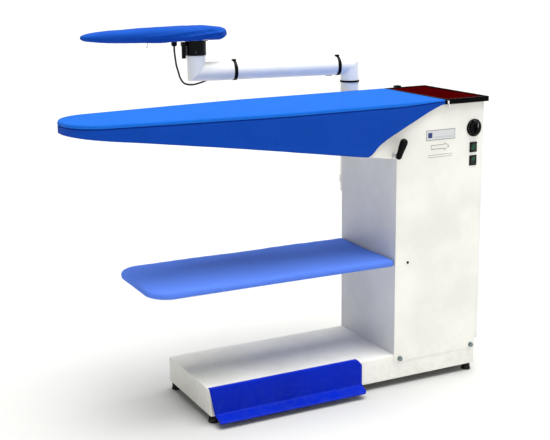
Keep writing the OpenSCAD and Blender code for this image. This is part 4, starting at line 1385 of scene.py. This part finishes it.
@dataclass
class Plinth:
    """Base: a folded shell of plate with rounded bends and slots for the pedal's arms, its bars and feet."""

    bend: float = 0.0032
    plate: float = 0.002
    slot_half: float = 0.008
    slot_low: float = 0.050
    slot_high: float = 0.088
    foot_radius: float = 0.015

    def build(self) -> None:
        """Rounded-rectangle rings from the middle of the deck, over the bend, down to the lower edge."""
        low, high = span("base_deck")
        floor = span("base_side_walls")[0][2]
        r = self.bend
        a = np.linspace(0, math.pi / 2, 7)
        quarter = np.stack([-np.cos(a), -np.sin(a)], 1) * r
        cx, cy = (low[0] + high[0]) / 2, (low[1] + high[1]) / 2
        hx, hy = (high[0] - low[0]) / 2, (high[1] - low[1]) / 2
        corners = [
            quarter + [-hx + r, -hy + r],
            (quarter * [-1, 1])[::-1] + [hx - r, -hy + r],
            quarter * [-1, -1] + [hx - r, hy - r],
            (quarter * [1, -1])[::-1] + [-hx + r, hy - r],
        ]
        loop = np.concatenate([*corners, corners[0][:1]])
        mid = np.stack([np.clip(loop[:, 0], -hx + hy, hx - hy), np.zeros(len(loop))], 1)
        t = np.linspace(0, 1, 5)[:, None, None]
        step = np.roll(loop[:-1], -1, 0) - np.roll(loop[:-1], 1, 0)
        normal = np.stack([step[:, 1], -step[:, 0]], 1)
        normal /= np.linalg.norm(normal, axis=1, keepdims=True)
        normal = np.concatenate([normal, normal[:1]])
        inner = loop - normal * r
        deck = mid + (inner - mid) * t
        deck = np.concatenate([deck, np.full((*deck.shape[:2], 1), high[2])], 2)
        b = np.linspace(0, math.pi / 2, 7)[1:]
        over = loop[None] - normal[None] * (r * (1 - np.sin(b)))[:, None, None]
        over_z = (high[2] - r * (1 - np.cos(b)))[:, None, None]
        over = np.concatenate([over, np.broadcast_to(over_z, (*over.shape[:2], 1))], 2)
        drop = np.linspace(high[2] - r, floor, 5)[1:]
        walls = np.broadcast_to(loop[None], (4, *loop.shape))
        walls = np.concatenate([walls, np.broadcast_to(drop[:, None, None], (*walls.shape[:2], 1))], 2)
        points = np.concatenate([deck, over, walls]) + [cx, cy, 0]
        shell = Shape("base_shell").grid(points).make(Finish.WHITE, wall=self.plate, crease=50)
        cutter = Shape("slot_cutter")
        arms = span("pedal_arms")
        for x in (arms[0][0] + 0.010, arms[1][0] - 0.010):
            near = (x - self.slot_half, low[1] - 0.01, self.slot_low)
            far = (x + self.slot_half, low[1] + 0.01, self.slot_high)
            cutter.box(near, far)
        tool = cutter.make()
        cut = shell.modifiers.new("slots", "BOOLEAN")
        cut.object, cut.solver = tool, "EXACT"
        bake_modifiers(shell)
        bpy.data.objects.remove(tool)
        round_edges(shell, 0.0, 40)
        place(shell, "table", "white_paint", "base_deck", "base_side_walls", "base_end_walls")
        rounded(["base_crossbars"], "base_bars", "table", "white_paint", Finish.WHITE, 0.0006)
        rounded(["foot_studs"], "foot_bolts", "table", "zinc_steel", Finish.ZINC, 0.0005)
        self.feet()

    def feet(self) -> None:
        """Turned rubber feet: a wide lower rim, a waist and a round top edge."""
        low, high = span("foot_pads")
        r, h = self.foot_radius, high[2] - low[2]
        profile = np.array([
            [0, 0], [0, r - 0.0012], [0.0004, r - 0.0004], [0.0014, r], [0.004, r], [0.006, r - 0.0014],
            [0.015, r - 0.0018], [h - 0.0016, r - 0.0018], [h - 0.0005, r - 0.0024], [h, r - 0.0034], [h, 0],
        ])
        feet = Shape("rubber_feet")
        for x in (low[0] + r, high[0] - r):
            for y in (low[1] + r, high[1] - r):
                feet.turned(profile, (x, y, 0), 2, 40)
        place(feet.make(Finish.RUBBER, crease=50), "table", "black_rubber", "foot_pads")


@dataclass
class Cabinet:
    """Sheet steel cabinet with its folded cover, bolts and the front controls."""

    edge: float = 0.0007
    dial_scale: int = 19
    dial_sweep: float = 135.0
    lever_x: float = 0.320
    lever_tilt: float = math.radians(22)
    lever_radius: float = 0.0092

    def build(self) -> None:
        """Panels, bolts, screws and everything on the front."""
        for node in ("cabinet_front", "cabinet_back", "cabinet_left"):
            # The left panel takes the grey copy of the white paint, which paints in its shade.
            paint = Finish.LEFT if node == "cabinet_left" else Finish.WHITE
            rounded([node], f"{node}_panel", "table", "white_paint", paint, self.edge)
        rounded(["side_cover"], "side_cover_panel", "table", "white_paint", Finish.GREY_WHITE, 0.0014, 50)
        rounded(["panel_bolts"], "hex_bolts", "table", "zinc_steel", Finish.BOLT, 0.0005)
        rounded(["cover_screws"], "cover_pan_screws", "table", "zinc_steel", Finish.ZINC, 0.0006)
        rounded(["shelf_screws"], "shelf_pan_screws", "table", "black_plastic", Finish.PLASTIC, 0.0006)
        self.nameplate()
        self.dial()
        self.switches()
        self.lever()

    def nameplate(self) -> None:
        """Blank foil plate with a plain dark square, and a plain arrow outline under it."""
        low, high = span("nameplate")
        foil = Foil("silver_foil", tuple(low), tuple(high))
        rounded(["nameplate"], "blank_nameplate", "table", "silver_foil", foil, 0.0003)
        y = high[1] - 0.00025
        cx, cz = (low[0] + high[0]) / 2, low[2] - 0.022
        tail, neck, tip, stem, head = -0.034, 0.014, 0.032, 0.006, 0.012
        corners = [
            (tail, stem), (neck, stem), (neck, head), (tip, 0.0), (neck, -head), (neck, -stem), (tail, -stem),
            (tail, stem),
        ]
        line = bent(corners, 0.0008, 4)
        path = np.stack([cx + line[:, 0], np.full(len(line), y), cz + line[:, 1]], 1)
        arrow = Shape("arrow_outline").tube(path, 0.00045, 6)
        for drop in (0.024, 0.031):
            rule = np.array([[cx - 0.046, y, cz - drop], [cx, y, cz - drop], [cx + 0.046, y, cz - drop]])
            arrow.tube(rule, 0.00028, 6)
        place(arrow.make(Finish.TRAY), "table", "black_steel")

    def dial(self) -> None:
        """Turned dial plate with a scale of plain marks, and a fluted knob with a grip bar and a pointer."""
        low, high = span("dial_plate")
        cx, cz = (low[0] + high[0]) / 2, (low[2] + high[2]) / 2
        y = high[1]
        plate = np.array([
            [0, 0], [0, 0.0272], [-0.0006, 0.0275], [-0.0024, 0.0275], [-0.0030, 0.0270], [-0.0031, 0.0245],
            [-0.0036, 0.0242], [-0.0040, 0.0238], [-0.0040, 0],
        ])
        scale = Shape("dial_scale").turned(plate, (cx, y, cz), 1, 72)
        place(scale.make(Finish.PLASTIC, crease=40), "table", "black_plastic", "dial_plate")
        marks = Shape("dial_marks")
        angles = np.radians(np.linspace(-self.dial_sweep, self.dial_sweep, self.dial_scale))
        for k, angle in enumerate(angles):
            inner, outer = (0.0212, 0.0236) if k % 3 == 0 else (0.0222, 0.0234)
            wide = 0.0005 if k % 3 == 0 else 0.0003
            way = np.array([math.sin(angle), 0, math.cos(angle)])
            across = np.array([math.cos(angle), 0, -math.sin(angle)])
            at = np.array([cx, y - 0.00405, cz])
            r = np.array([inner, outer])[:, None, None]
            w = np.array([-wide, wide])[None, :, None]
            marks.grid(at + r * way + w * across)
        tick = marks.make(Finish.MARK, wall=0.0001)
        face_towards(tick, (0, -1, 0))
        place(tick, "table", "silver_foil")
        knob = np.array([
            [0, 0.0], [0, 0.0192], [-0.0006, 0.0199], [-0.0014, 0.02], [-0.0052, 0.02], [-0.0062, 0.0194],
            [-0.0070, 0.0182], [-0.0076, 0.0165], [-0.0078, 0.012], [-0.0078, 0],
        ])
        front = y - 0.0044
        turned = Shape("thermostat_dial_knob").turned(knob, (cx, front, cz), 1, 120, 20, 0.0011)
        length, half = 0.0172, 0.0042
        u = np.linspace(0, 2 * math.pi, 65)
        # The grip bar is a superellipse; each level is a height and its share of the outline.
        across = half * np.sign(np.cos(u)) * np.abs(np.cos(u)) ** 0.45
        along = length * np.sign(np.sin(u)) * np.abs(np.sin(u)) ** 0.6
        ring = np.stack([across, along], 1)
        levels = np.array([
            [0.0, 1.12], [0.0012, 1.02], [0.0030, 0.97], [0.0075, 0.94], [0.0090, 0.90], [0.0098, 0.80],
            [0.0100, 0.6], [0.0100, 0.0],
        ])
        bar = np.zeros((len(levels), len(u), 3))
        bar[..., 0] = cx + levels[:, 1:2] * ring[:, 0]
        bar[..., 2] = cz + levels[:, 1:2] * ring[:, 1]
        bar[..., 1] = front - 0.0076 - levels[:, :1]
        turned.grid(bar)
        stem = np.array([[0.0, 0.0], [0.0, 0.003], [0.016, 0.003], [0.016, 0.0]])
        turned.turned(stem, (cx, front, cz), 1, 24)
        pointer_y = front - 0.0177
        turned.box((cx - 0.0005, pointer_y, cz + 0.004), (cx + 0.0005, pointer_y + 0.0004, cz + 0.0145), 1)
        place(turned.make(Finish.PLASTIC, Finish.MARK, crease=32), "dial", "black_plastic", "thermostat_knob")

    def switches(self) -> None:
        """Switch frames and the two rockers with their green windows."""
        rounded(["switch_frames"], "switch_bezels", "table", "black_plastic", Finish.PLASTIC, 0.0008)
        rockers = (("board_switch", "upper_rocker", 0.0), ("arm_switch", "lower_rocker", 0.0052))
        for node, body, shift in rockers:
            low, high = span(node)
            centre = tuple((low + high) / 2)
            lens = Lens(f"{node}_lens", centre, (0.0062, 0.0078 if shift == 0 else 0.0058), shift)
            rounded([node], f"{node}_rocker", body, "green_plastic", lens, 0.0007, 25)

    def lever(self) -> None:
        """Drop-shaped grip on the valve's shaft, with a bright ring behind it."""
        low, high = span("lever_grip")
        r = self.lever_radius
        centre = np.array([self.lever_x, (low[1] + high[1]) / 2, low[2] + 0.009])
        a = np.linspace(-math.pi / 2, 0, 9)
        b = np.linspace(0, math.pi / 2, 12)
        base = np.stack([r * np.sin(a), r * np.cos(a)], 1)
        z = np.linspace(0.002, 0.042, 14)
        swell = 0.0026
        body = np.stack([z, r + swell * ease(0.004, 0.040, z)], 1)
        crown = np.stack([0.045 + (r + swell) * np.sin(b), (r + swell) * np.cos(b)], 1)
        crown[-1, 1] = 0.0
        base[0, 1] = 0.0
        grip = Shape("suction_lever_grip").turned(np.concatenate([base, body, crown]), (0, 0, 0), 2, 40)
        turn = Matrix.Rotation(self.lever_tilt, 3, "Y")
        grip.points = [p @ np.array(turn).T + centre for p in grip.points]
        place(grip.make(Finish.PLASTIC, crease=60), "suction_lever", "black_plastic", "lever_grip")
        ring = np.array([
            [0, 0.0052], [0, 0.0078], [0.0006, 0.0084], [0.0018, 0.0084], [0.0024, 0.0078], [0.0024, 0.0052],
            [0, 0.0052],
        ])
        collar = Shape("lever_ring").turned(ring, (self.lever_x, high[1] + 0.0004, centre[2]), 1, 40)
        place(collar.make(Finish.BRIGHT, crease=40), "suction_lever", "zinc_steel")
        dress("valve_flap", Finish.ZINC)


@dataclass
class IronRest:
    """Black tray with a ribbed red mat, a spring hook and the socket for the lead's rod."""

    def build(self) -> None:
        """Rounded tray, mat and fittings."""
        rounded(["iron_rest"], "iron_rest_tray", "table", "black_steel", Finish.TRAY, 0.0016)
        rounded(["rest_mat"], "iron_rest_mat", "table", "red_silicone", Finish.MAT, 0.0011)
        rounded(["rest_clip"], "spring_hook", "table", "zinc_steel", Finish.BRIGHT, 0.0004)
        rounded(["lead_socket"], "rod_socket", "table", "black_plastic", Finish.PLASTIC, 0.0014)


@dataclass
class Pedal:
    """Wide foot pedal: one bent sheet with a returned top, a slanted left end and a tread."""

    sheet: float = 0.002
    radius: float = 0.005
    left_end: float = -0.310
    slant: float = 0.020
    tread_cut: float = 0.010
    wire: float = 0.0009
    turns: int = 5

    def build(self) -> None:
        """The bent profile carried along X between end lines that depend on height."""
        low, high = span("foot_pedal")
        face = high[1] - 0.009
        corners = [(high[1], high[2]), (face, high[2]), (face, 0.034), (low[1], low[2] + self.sheet)]
        path = bent(corners, self.radius, 9)
        fine = np.linspace(0, len(path) - 1, 96)
        index = np.arange(len(path))
        y, z = np.interp(fine, index, path[:, 0]), np.interp(fine, index, path[:, 1])
        left = self.left_end + self.slant * np.clip((0.119 - z) / 0.103, 0, 1)
        right = high[0] - self.slant * np.clip((z - 0.104) / 0.015, 0, 1)
        right -= self.tread_cut * np.clip((-0.268 - y) / 0.013, 0, 1)
        t = np.linspace(0, 1, 60)
        x = left[:, None] + (right - left)[:, None] * t[None, :]
        points = np.stack([x, np.broadcast_to(y[:, None], x.shape), np.broadcast_to(z[:, None], x.shape)], -1)
        plate = Shape("foot_pedal_plate").grid(points).make(Finish.PEDAL, wall=self.sheet)
        face_towards(plate, (0, -1, 0.2))
        place(plate, "pedal", "blue_paint", "foot_pedal")
        rounded(["pedal_arms"], "pedal_levers", "pedal", "zinc_steel", Finish.ZINC, 0.0006)
        self.spring()

    def spring(self) -> None:
        """Compression spring, a helix that shortens between the left lever and the deck."""
        low, high = span("pedal_spring")
        x, y, _ = (low + high) / 2
        reach = (high[0] - low[0]) / 2 - self.wire
        rise = np.linspace(low[2] + self.wire, high[2] - self.wire, 220)
        turn = np.linspace(0, 2 * math.pi * self.turns, 220)
        line = np.stack([x + reach * np.cos(turn), y + reach * np.sin(turn), rise], 1)
        spring = Shape("pedal_return_spring").tube(line, self.wire, 10).make(Finish.BRIGHT, crease=60)
        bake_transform(spring, "pedal", "table", start=(x, y, rise[0]), end=(x, y, rise[-1]))
        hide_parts("pedal_spring")


@dataclass
class Arm:
    """Swinging arm: mitred pipe on its post, with ties, the heater cable, the collar and its clamp."""

    radius: float = 0.030
    wall: float = 0.002
    axis_height: float = 0.980
    run_length: float = 0.520
    lean: float = math.radians(8.85)
    bead: float = 0.0008
    outer_round: float = 0.006
    cable_radius: float = 0.003
    post_y: float = 0.140
    pipe_low: float = 0.9313
    pipe_high: float = 1.033
    tie_places: tuple[float, float] = (0.045, 0.396)
    route: tuple = (
        (-0.211, 0.195, 1.066), (-0.211, 0.195, 1.052), (-0.208, 0.197, 1.030), (-0.203, 0.201, 1.006),
        (-0.194, 0.208, 0.984), (-0.184, 0.217, 0.963), (-0.167, 0.225, 0.9455), (-0.138, 0.2315, 0.9395),
        (-0.106, 0.2335, 0.9445), (-0.0763, 0.2321, 0.952), (-0.0071, 0.2213, 0.952), (0.0917, 0.2059, 0.952),
        (0.1905, 0.1905, 0.952), (0.2695, 0.1782, 0.952), (0.3089, 0.1721, 0.952),
    )

    def build(self) -> None:
        """Pipe, post, ties, cable, collar and clamp."""
        self.pipe()
        self.cable()
        rounded(["arm_post"], "arm_post_pipe", "table", "white_paint", Finish.PIPE, 0.0007, 40)
        rounded(["post_clamps"], "post_saddles", "table", "white_paint", Finish.WHITE, 0.0010, 40)
        rounded(["swivel_ring"], "swivel_washer", "table", "black_plastic", Finish.PLASTIC, 0.0009, 40)
        self.ties()
        black = Finish.ALUMINIUM
        rounded(["sleeve_collar"], "sleeve_swivel_collar", "sleeve", "black_aluminium", black, 0.0010, 40)
        rounded(["clamp_lever"], "sleeve_clamp_lever", "clamp", "black_plastic", Finish.PLASTIC, 0.0018, 40)
        rounded(["cable_gland"], "heater_gland", "sleeve", "black_plastic", Finish.PLASTIC, 0.0006, 40)

    def pipe(self) -> None:
        """Lines along the pipe at offset a meet both 45 degree mitres; a raised bead follows each weld."""
        post = span("arm_post")
        centre = np.array([post[0][0] + self.radius, self.post_y, 0])
        turn = np.linspace(0, 2 * math.pi, 57)
        a, b = self.radius * np.cos(turn), self.radius * np.sin(turn)
        h, far = self.axis_height, self.run_length
        low, high = self.pipe_low, self.pipe_high
        near = np.array([0.0, 0.0006, 0.0014, 0.0024, 0.0036, 0.0060])
        grow = 1 + self.bead / self.radius * np.exp(-((near / 0.0016) ** 2))
        rings = []
        for z in (low, low + 0.001, low + 0.01):
            rings.append(np.stack([a, b, np.full_like(a, z)], 1))
        corner1 = np.stack([a, b, h - a], 1)
        corner2 = np.stack([far + a, b, h - a], 1)
        inside1, inside2 = np.array([1, 0, -1]) / math.sqrt(2), np.array([-1, 0, 1]) / math.sqrt(2)
        pull1 = self.outer_round * np.clip(-a / self.radius, 0, 1)[:, None] ** 3 * inside1
        pull2 = self.outer_round * np.clip(a / self.radius, 0, 1)[:, None] ** 3 * inside2

        def seam(
            corner: np.ndarray, pull: np.ndarray, back: np.ndarray, ahead: np.ndarray
        ) -> list[np.ndarray]:
            """Rings on both sides of a mitre, grown by the bead and pulled in at the outer corner.

            Args:
                corner: the mitre's ring.
                pull: how far the outer corner is pulled in.
                back: direction of the part before the mitre.
                ahead: direction of the part after it.

            Returns:
                The rings in order.
            """
            out = []
            middle = corner.mean(0)
            for side, way in ((near[::-1], back), (near[1:], ahead)):
                scale = grow[::-1] if way is back else grow[1:]
                for distance, factor in zip(side, scale):
                    soft = math.exp(-((distance / 0.010) ** 2))
                    grown = middle + (corner - middle) * factor
                    out.append(grown + way * distance + pull * soft)
            return out

        rings += seam(corner1, pull1, np.array([0, 0, -1.0]), np.array([1.0, 0, 0]))
        for x in np.linspace(0.1, 0.9, 9) * far:
            rings.append(np.stack([np.full_like(a, x), b, h - a], 1))
        rings += seam(corner2, pull2, np.array([-1.0, 0, 0]), np.array([0, 0, 1.0]))
        for z in (high - 0.010, high - 0.001, high):
            rings.append(np.stack([far + a, b, np.full_like(a, z)], 1))
        points = np.stack(rings)
        spin = np.array(Matrix.Rotation(math.pi - self.lean, 3, "Z"))
        points = points @ spin.T + centre
        pipe = Shape("arm_pipe_tube").grid(points).make(Finish.PIPE, wall=self.wall, crease=60)
        cad_low = span("arm_pipe")[0][2]
        inner, outer = 0.0250, 0.02795
        spigot = np.array([
            [cad_low, inner], [cad_low, outer - 0.001], [cad_low + 0.001, outer], [low + 0.0005, outer],
            [low + 0.0005, inner], [cad_low, inner],
        ])
        sleeve = Shape("arm_spigot").turned(spigot, (centre[0], centre[1], 0), 2, 48)
        place(sleeve.make(Finish.ZINC, crease=40), "arm", "zinc_steel")
        place(pipe, "arm", "white_paint", "arm_pipe")

    def ties(self) -> None:
        """Two straps round the pipe with ribbed edges, their heads on top, and the cable's entry boss."""
        post = span("arm_post")
        centre = np.array([post[0][0] + self.radius, self.post_y, self.axis_height])
        r = self.radius + 0.0002
        ties = Shape("cable_ties")
        rim = [(0.0055, r), (0.0055, r + 0.0010), (0.0048, r + 0.0017), (0.0040, r + 0.0012)]
        strap = np.array([(-x, h) for x, h in rim] + rim[::-1] + [(-rim[0][0], r)])
        for t in self.tie_places:
            ties.turned(strap, (t, 0, 0), 0, 56)
            ties.box((t - 0.0060, -0.005, r + 0.0006), (t + 0.0060, 0.006, r + 0.0056))
        c, back, drop = self.cable_radius, -0.020, -0.028
        half, inner, outer = 0.0030, c + 0.0001, c + 0.0016
        loop = np.array([[-half, inner], [-half, outer], [half, outer], [half, inner], [-half, inner]])
        ties.turned(loop, (self.tie_places[1], back, drop), 0, 28)
        boss = np.array([
            [0.055, 0], [0.055, 0.0056], [0.0558, 0.0065], [0.076, 0.0065], [0.080, 0.0045], [0.080, 0.0031],
            [0.078, 0.0031], [0.078, 0],
        ])
        ties.turned(boss, (0, back, drop), 0, 32)
        spin = np.array(Matrix.Rotation(math.pi - self.lean, 3, "Z"))
        ties.points = [p @ spin.T + centre for p in ties.points]
        place(ties.make(Finish.PLASTIC, bevel=0.0003, crease=45), "arm", "black_plastic", "cable_clips")

    def cable(self) -> None:
        """Catmull-Rom curve through the route's points, swept with a round section."""
        p = np.array(self.route)
        ends = np.concatenate([p[:1], p, p[-1:]])
        t = np.linspace(0, len(p) - 1, 220)
        i = np.clip(t.astype(int), 0, len(p) - 2)
        f = (t - i)[:, None]
        a, b, c, d = ends[i], ends[i + 1], ends[i + 2], ends[i + 3]
        square, cube = 2 * a - 5 * b + 4 * c - d, 3 * b - a - 3 * c + d
        line = 0.5 * (2 * b + (c - a) * f + square * f**2 + cube * f**3)
        cable = Shape("heater_cable_sheath").tube(line, self.cable_radius, 14).make(Finish.CABLE, crease=60)
        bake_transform(cable, "arm", "sleeve", start=self.route[7], end=self.route[1])
        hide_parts("heater_cable")


class Inside:
    """Pieces inside the duct and the cabinet, and under the pads."""

    FINISHES = {
        "perforated_plate": Finish.ZINC, "duct_floor": Finish.WHITE, "duct_front_wall": Finish.WHITE,
        "duct_back_wall": Finish.WHITE, "heating_element": Finish.BRIGHT,
        "shelf_frame": Finish.WHITE, "shelf_brackets": Finish.WHITE, "thermostat": Finish.ZINC,
        "fan_housing": Finish.ZINC, "fan_motor": Finish.MOTOR, "fan_bracket": Finish.ZINC,
        "exhaust_grille": Finish.TRAY, "control_box": Finish.PLASTIC, "pedal_microswitch": Finish.PLASTIC,
        "mains_gland": Finish.PLASTIC, "pedal_shaft": Finish.ZINC,
        "impeller": Finish.ZINC, "sleeve_form": Finish.ZINC,
    }

    @classmethod
    def build(cls) -> None:
        """Dresses each CAD node that stays as it is."""
        for node, finish in cls.FINISHES.items():
            dress(node, finish)
            LOG.info("%s: CAD shape, %s", node, finish.value.name)


# ---- Stage ----


@dataclass
class Stage:
    """Pale floor and sky, one wide sun and the camera."""

    eye: tuple[float, float, float] = (-1.4909, -2.9802, 1.3397)
    yaw: float = math.radians(25.79)
    pitch: float = math.radians(12.42)
    roll: float = math.radians(-0.85)
    lens: float = 72.05236
    sensor: float = 36.0
    shift: tuple[float, float] = (0.0441818, -0.0421818)

    def build(self) -> None:
        """Floor, sky, sun and camera."""
        scene = bpy.context.scene
        floor = Shape("studio_floor").grid(
            np.stack(np.meshgrid([-90.0, 90.0], [-90.0, 90.0], [0.0], indexing="ij"), -1)[:, :, 0]
        ).make()
        g = Graph("pale_floor")
        p = g.place()
        tone = g.mix(g.noise(p, 0.7, 3.0), (0.52, 0.52, 0.51), (0.55, 0.55, 0.54))
        floor.data.materials.append(g.finish(tone, 0.9, g.bump(g.noise(p, 60.0), 0.0004)))
        face_towards(floor, (0, 0, 1))
        self.sky()
        self.sun("key", (0.12, -0.06, 1.0), 5.6, 60.0, (1.0, 0.995, 0.98))
        scene.view_settings.view_transform = "Standard"
        self.camera()

    @staticmethod
    def sky() -> None:
        """Even pale sky, paler near the horizon, with a soft brighter patch in front of the object."""
        world = bpy.data.worlds.new("studio")
        world.use_nodes = True
        tree = world.node_tree
        coords = tree.nodes.new("ShaderNodeTexCoord")
        facing = tree.nodes.new("ShaderNodeVectorMath")
        facing.operation = "DOT_PRODUCT"
        facing.inputs[1].default_value = Vector((-0.18, -1.0, 0.26)).normalized()
        lobe = tree.nodes.new("ShaderNodeMapRange")
        lobe.interpolation_type = "SMOOTHSTEP"
        for key, value in (("From Min", 0.35), ("From Max", 1.0), ("To Min", 0.25), ("To Max", 0.70)):
            lobe.inputs[key].default_value = value
        back = tree.nodes["Background"]
        back.inputs[0].default_value = (0.975, 0.985, 1.0, 1.0)
        tree.links.new(coords.outputs["Generated"], facing.inputs[0])
        tree.links.new(facing.outputs["Value"], lobe.inputs["Value"])
        height = tree.nodes.new("ShaderNodeSeparateXYZ")
        haze = tree.nodes.new("ShaderNodeMapRange")
        haze.interpolation_type = "SMOOTHSTEP"
        for key, value in (("From Min", 0.07), ("From Max", 0.20), ("To Min", 0.62), ("To Max", 0.0)):
            haze.inputs[key].default_value = value
        total = tree.nodes.new("ShaderNodeMath")
        tree.links.new(coords.outputs["Generated"], height.inputs[0])
        tree.links.new(height.outputs["Z"], haze.inputs["Value"])
        tree.links.new(lobe.outputs["Result"], total.inputs[0])
        tree.links.new(haze.outputs["Result"], total.inputs[1])
        tree.links.new(total.outputs[0], back.inputs[1])
        bpy.context.scene.world = world

    @staticmethod
    def sun(name: str, towards: Sequence[float], strength: float, spread: float, colour: Colour) -> None:
        """A wide sun that shines from the given direction.

        Args:
            name: name of the light.
            towards: direction from the object to the sun.
            strength: energy.
            spread: angle across in degrees.
            colour: its colour.
        """
        data = bpy.data.lights.new(name, "SUN")
        data.energy, data.angle, data.color = strength, math.radians(spread), colour
        lamp = bpy.data.objects.new(name, data)
        lamp.rotation_euler = Vector(towards).to_track_quat("Z", "Y").to_euler()
        bpy.context.scene.collection.objects.link(lamp)

    def camera(self) -> None:
        """The camera looks along yaw and pitch and is rolled a little; lens and sensor are in millimetres."""
        level = math.cos(self.pitch)
        forward = Vector((math.sin(self.yaw) * level, math.cos(self.yaw) * level, -math.sin(self.pitch)))
        right = Vector((math.cos(self.yaw), -math.sin(self.yaw), 0.0))
        up = right.cross(forward)
        right_r = right * math.cos(self.roll) + up * math.sin(self.roll)
        up_r = up * math.cos(self.roll) - right * math.sin(self.roll)
        data = bpy.data.cameras.new("camera")
        data.sensor_width, data.lens = self.sensor, self.lens
        data.shift_x, data.shift_y = self.shift
        data.clip_end = 300.0
        eye = bpy.data.objects.new("camera", data)
        turn = Matrix((right_r, up_r, -forward)).transposed().to_4x4()
        eye.matrix_world = Matrix.Translation(self.eye) @ turn
        bpy.context.scene.collection.objects.link(eye)
        bpy.context.scene.camera = eye


def main() -> None:
    """Builds the stage and each sub-assembly."""
    logging.basicConfig(level=logging.INFO, format="%(message)s")
    Stage().build()
    for part in (Plinth(), Cabinet(), Board(), IronRest(), Shelf(), Pedal(), Arm(), SleevePad()):
        part.build()
    Inside.build()
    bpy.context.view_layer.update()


if __name__ == "__main__":
    main()
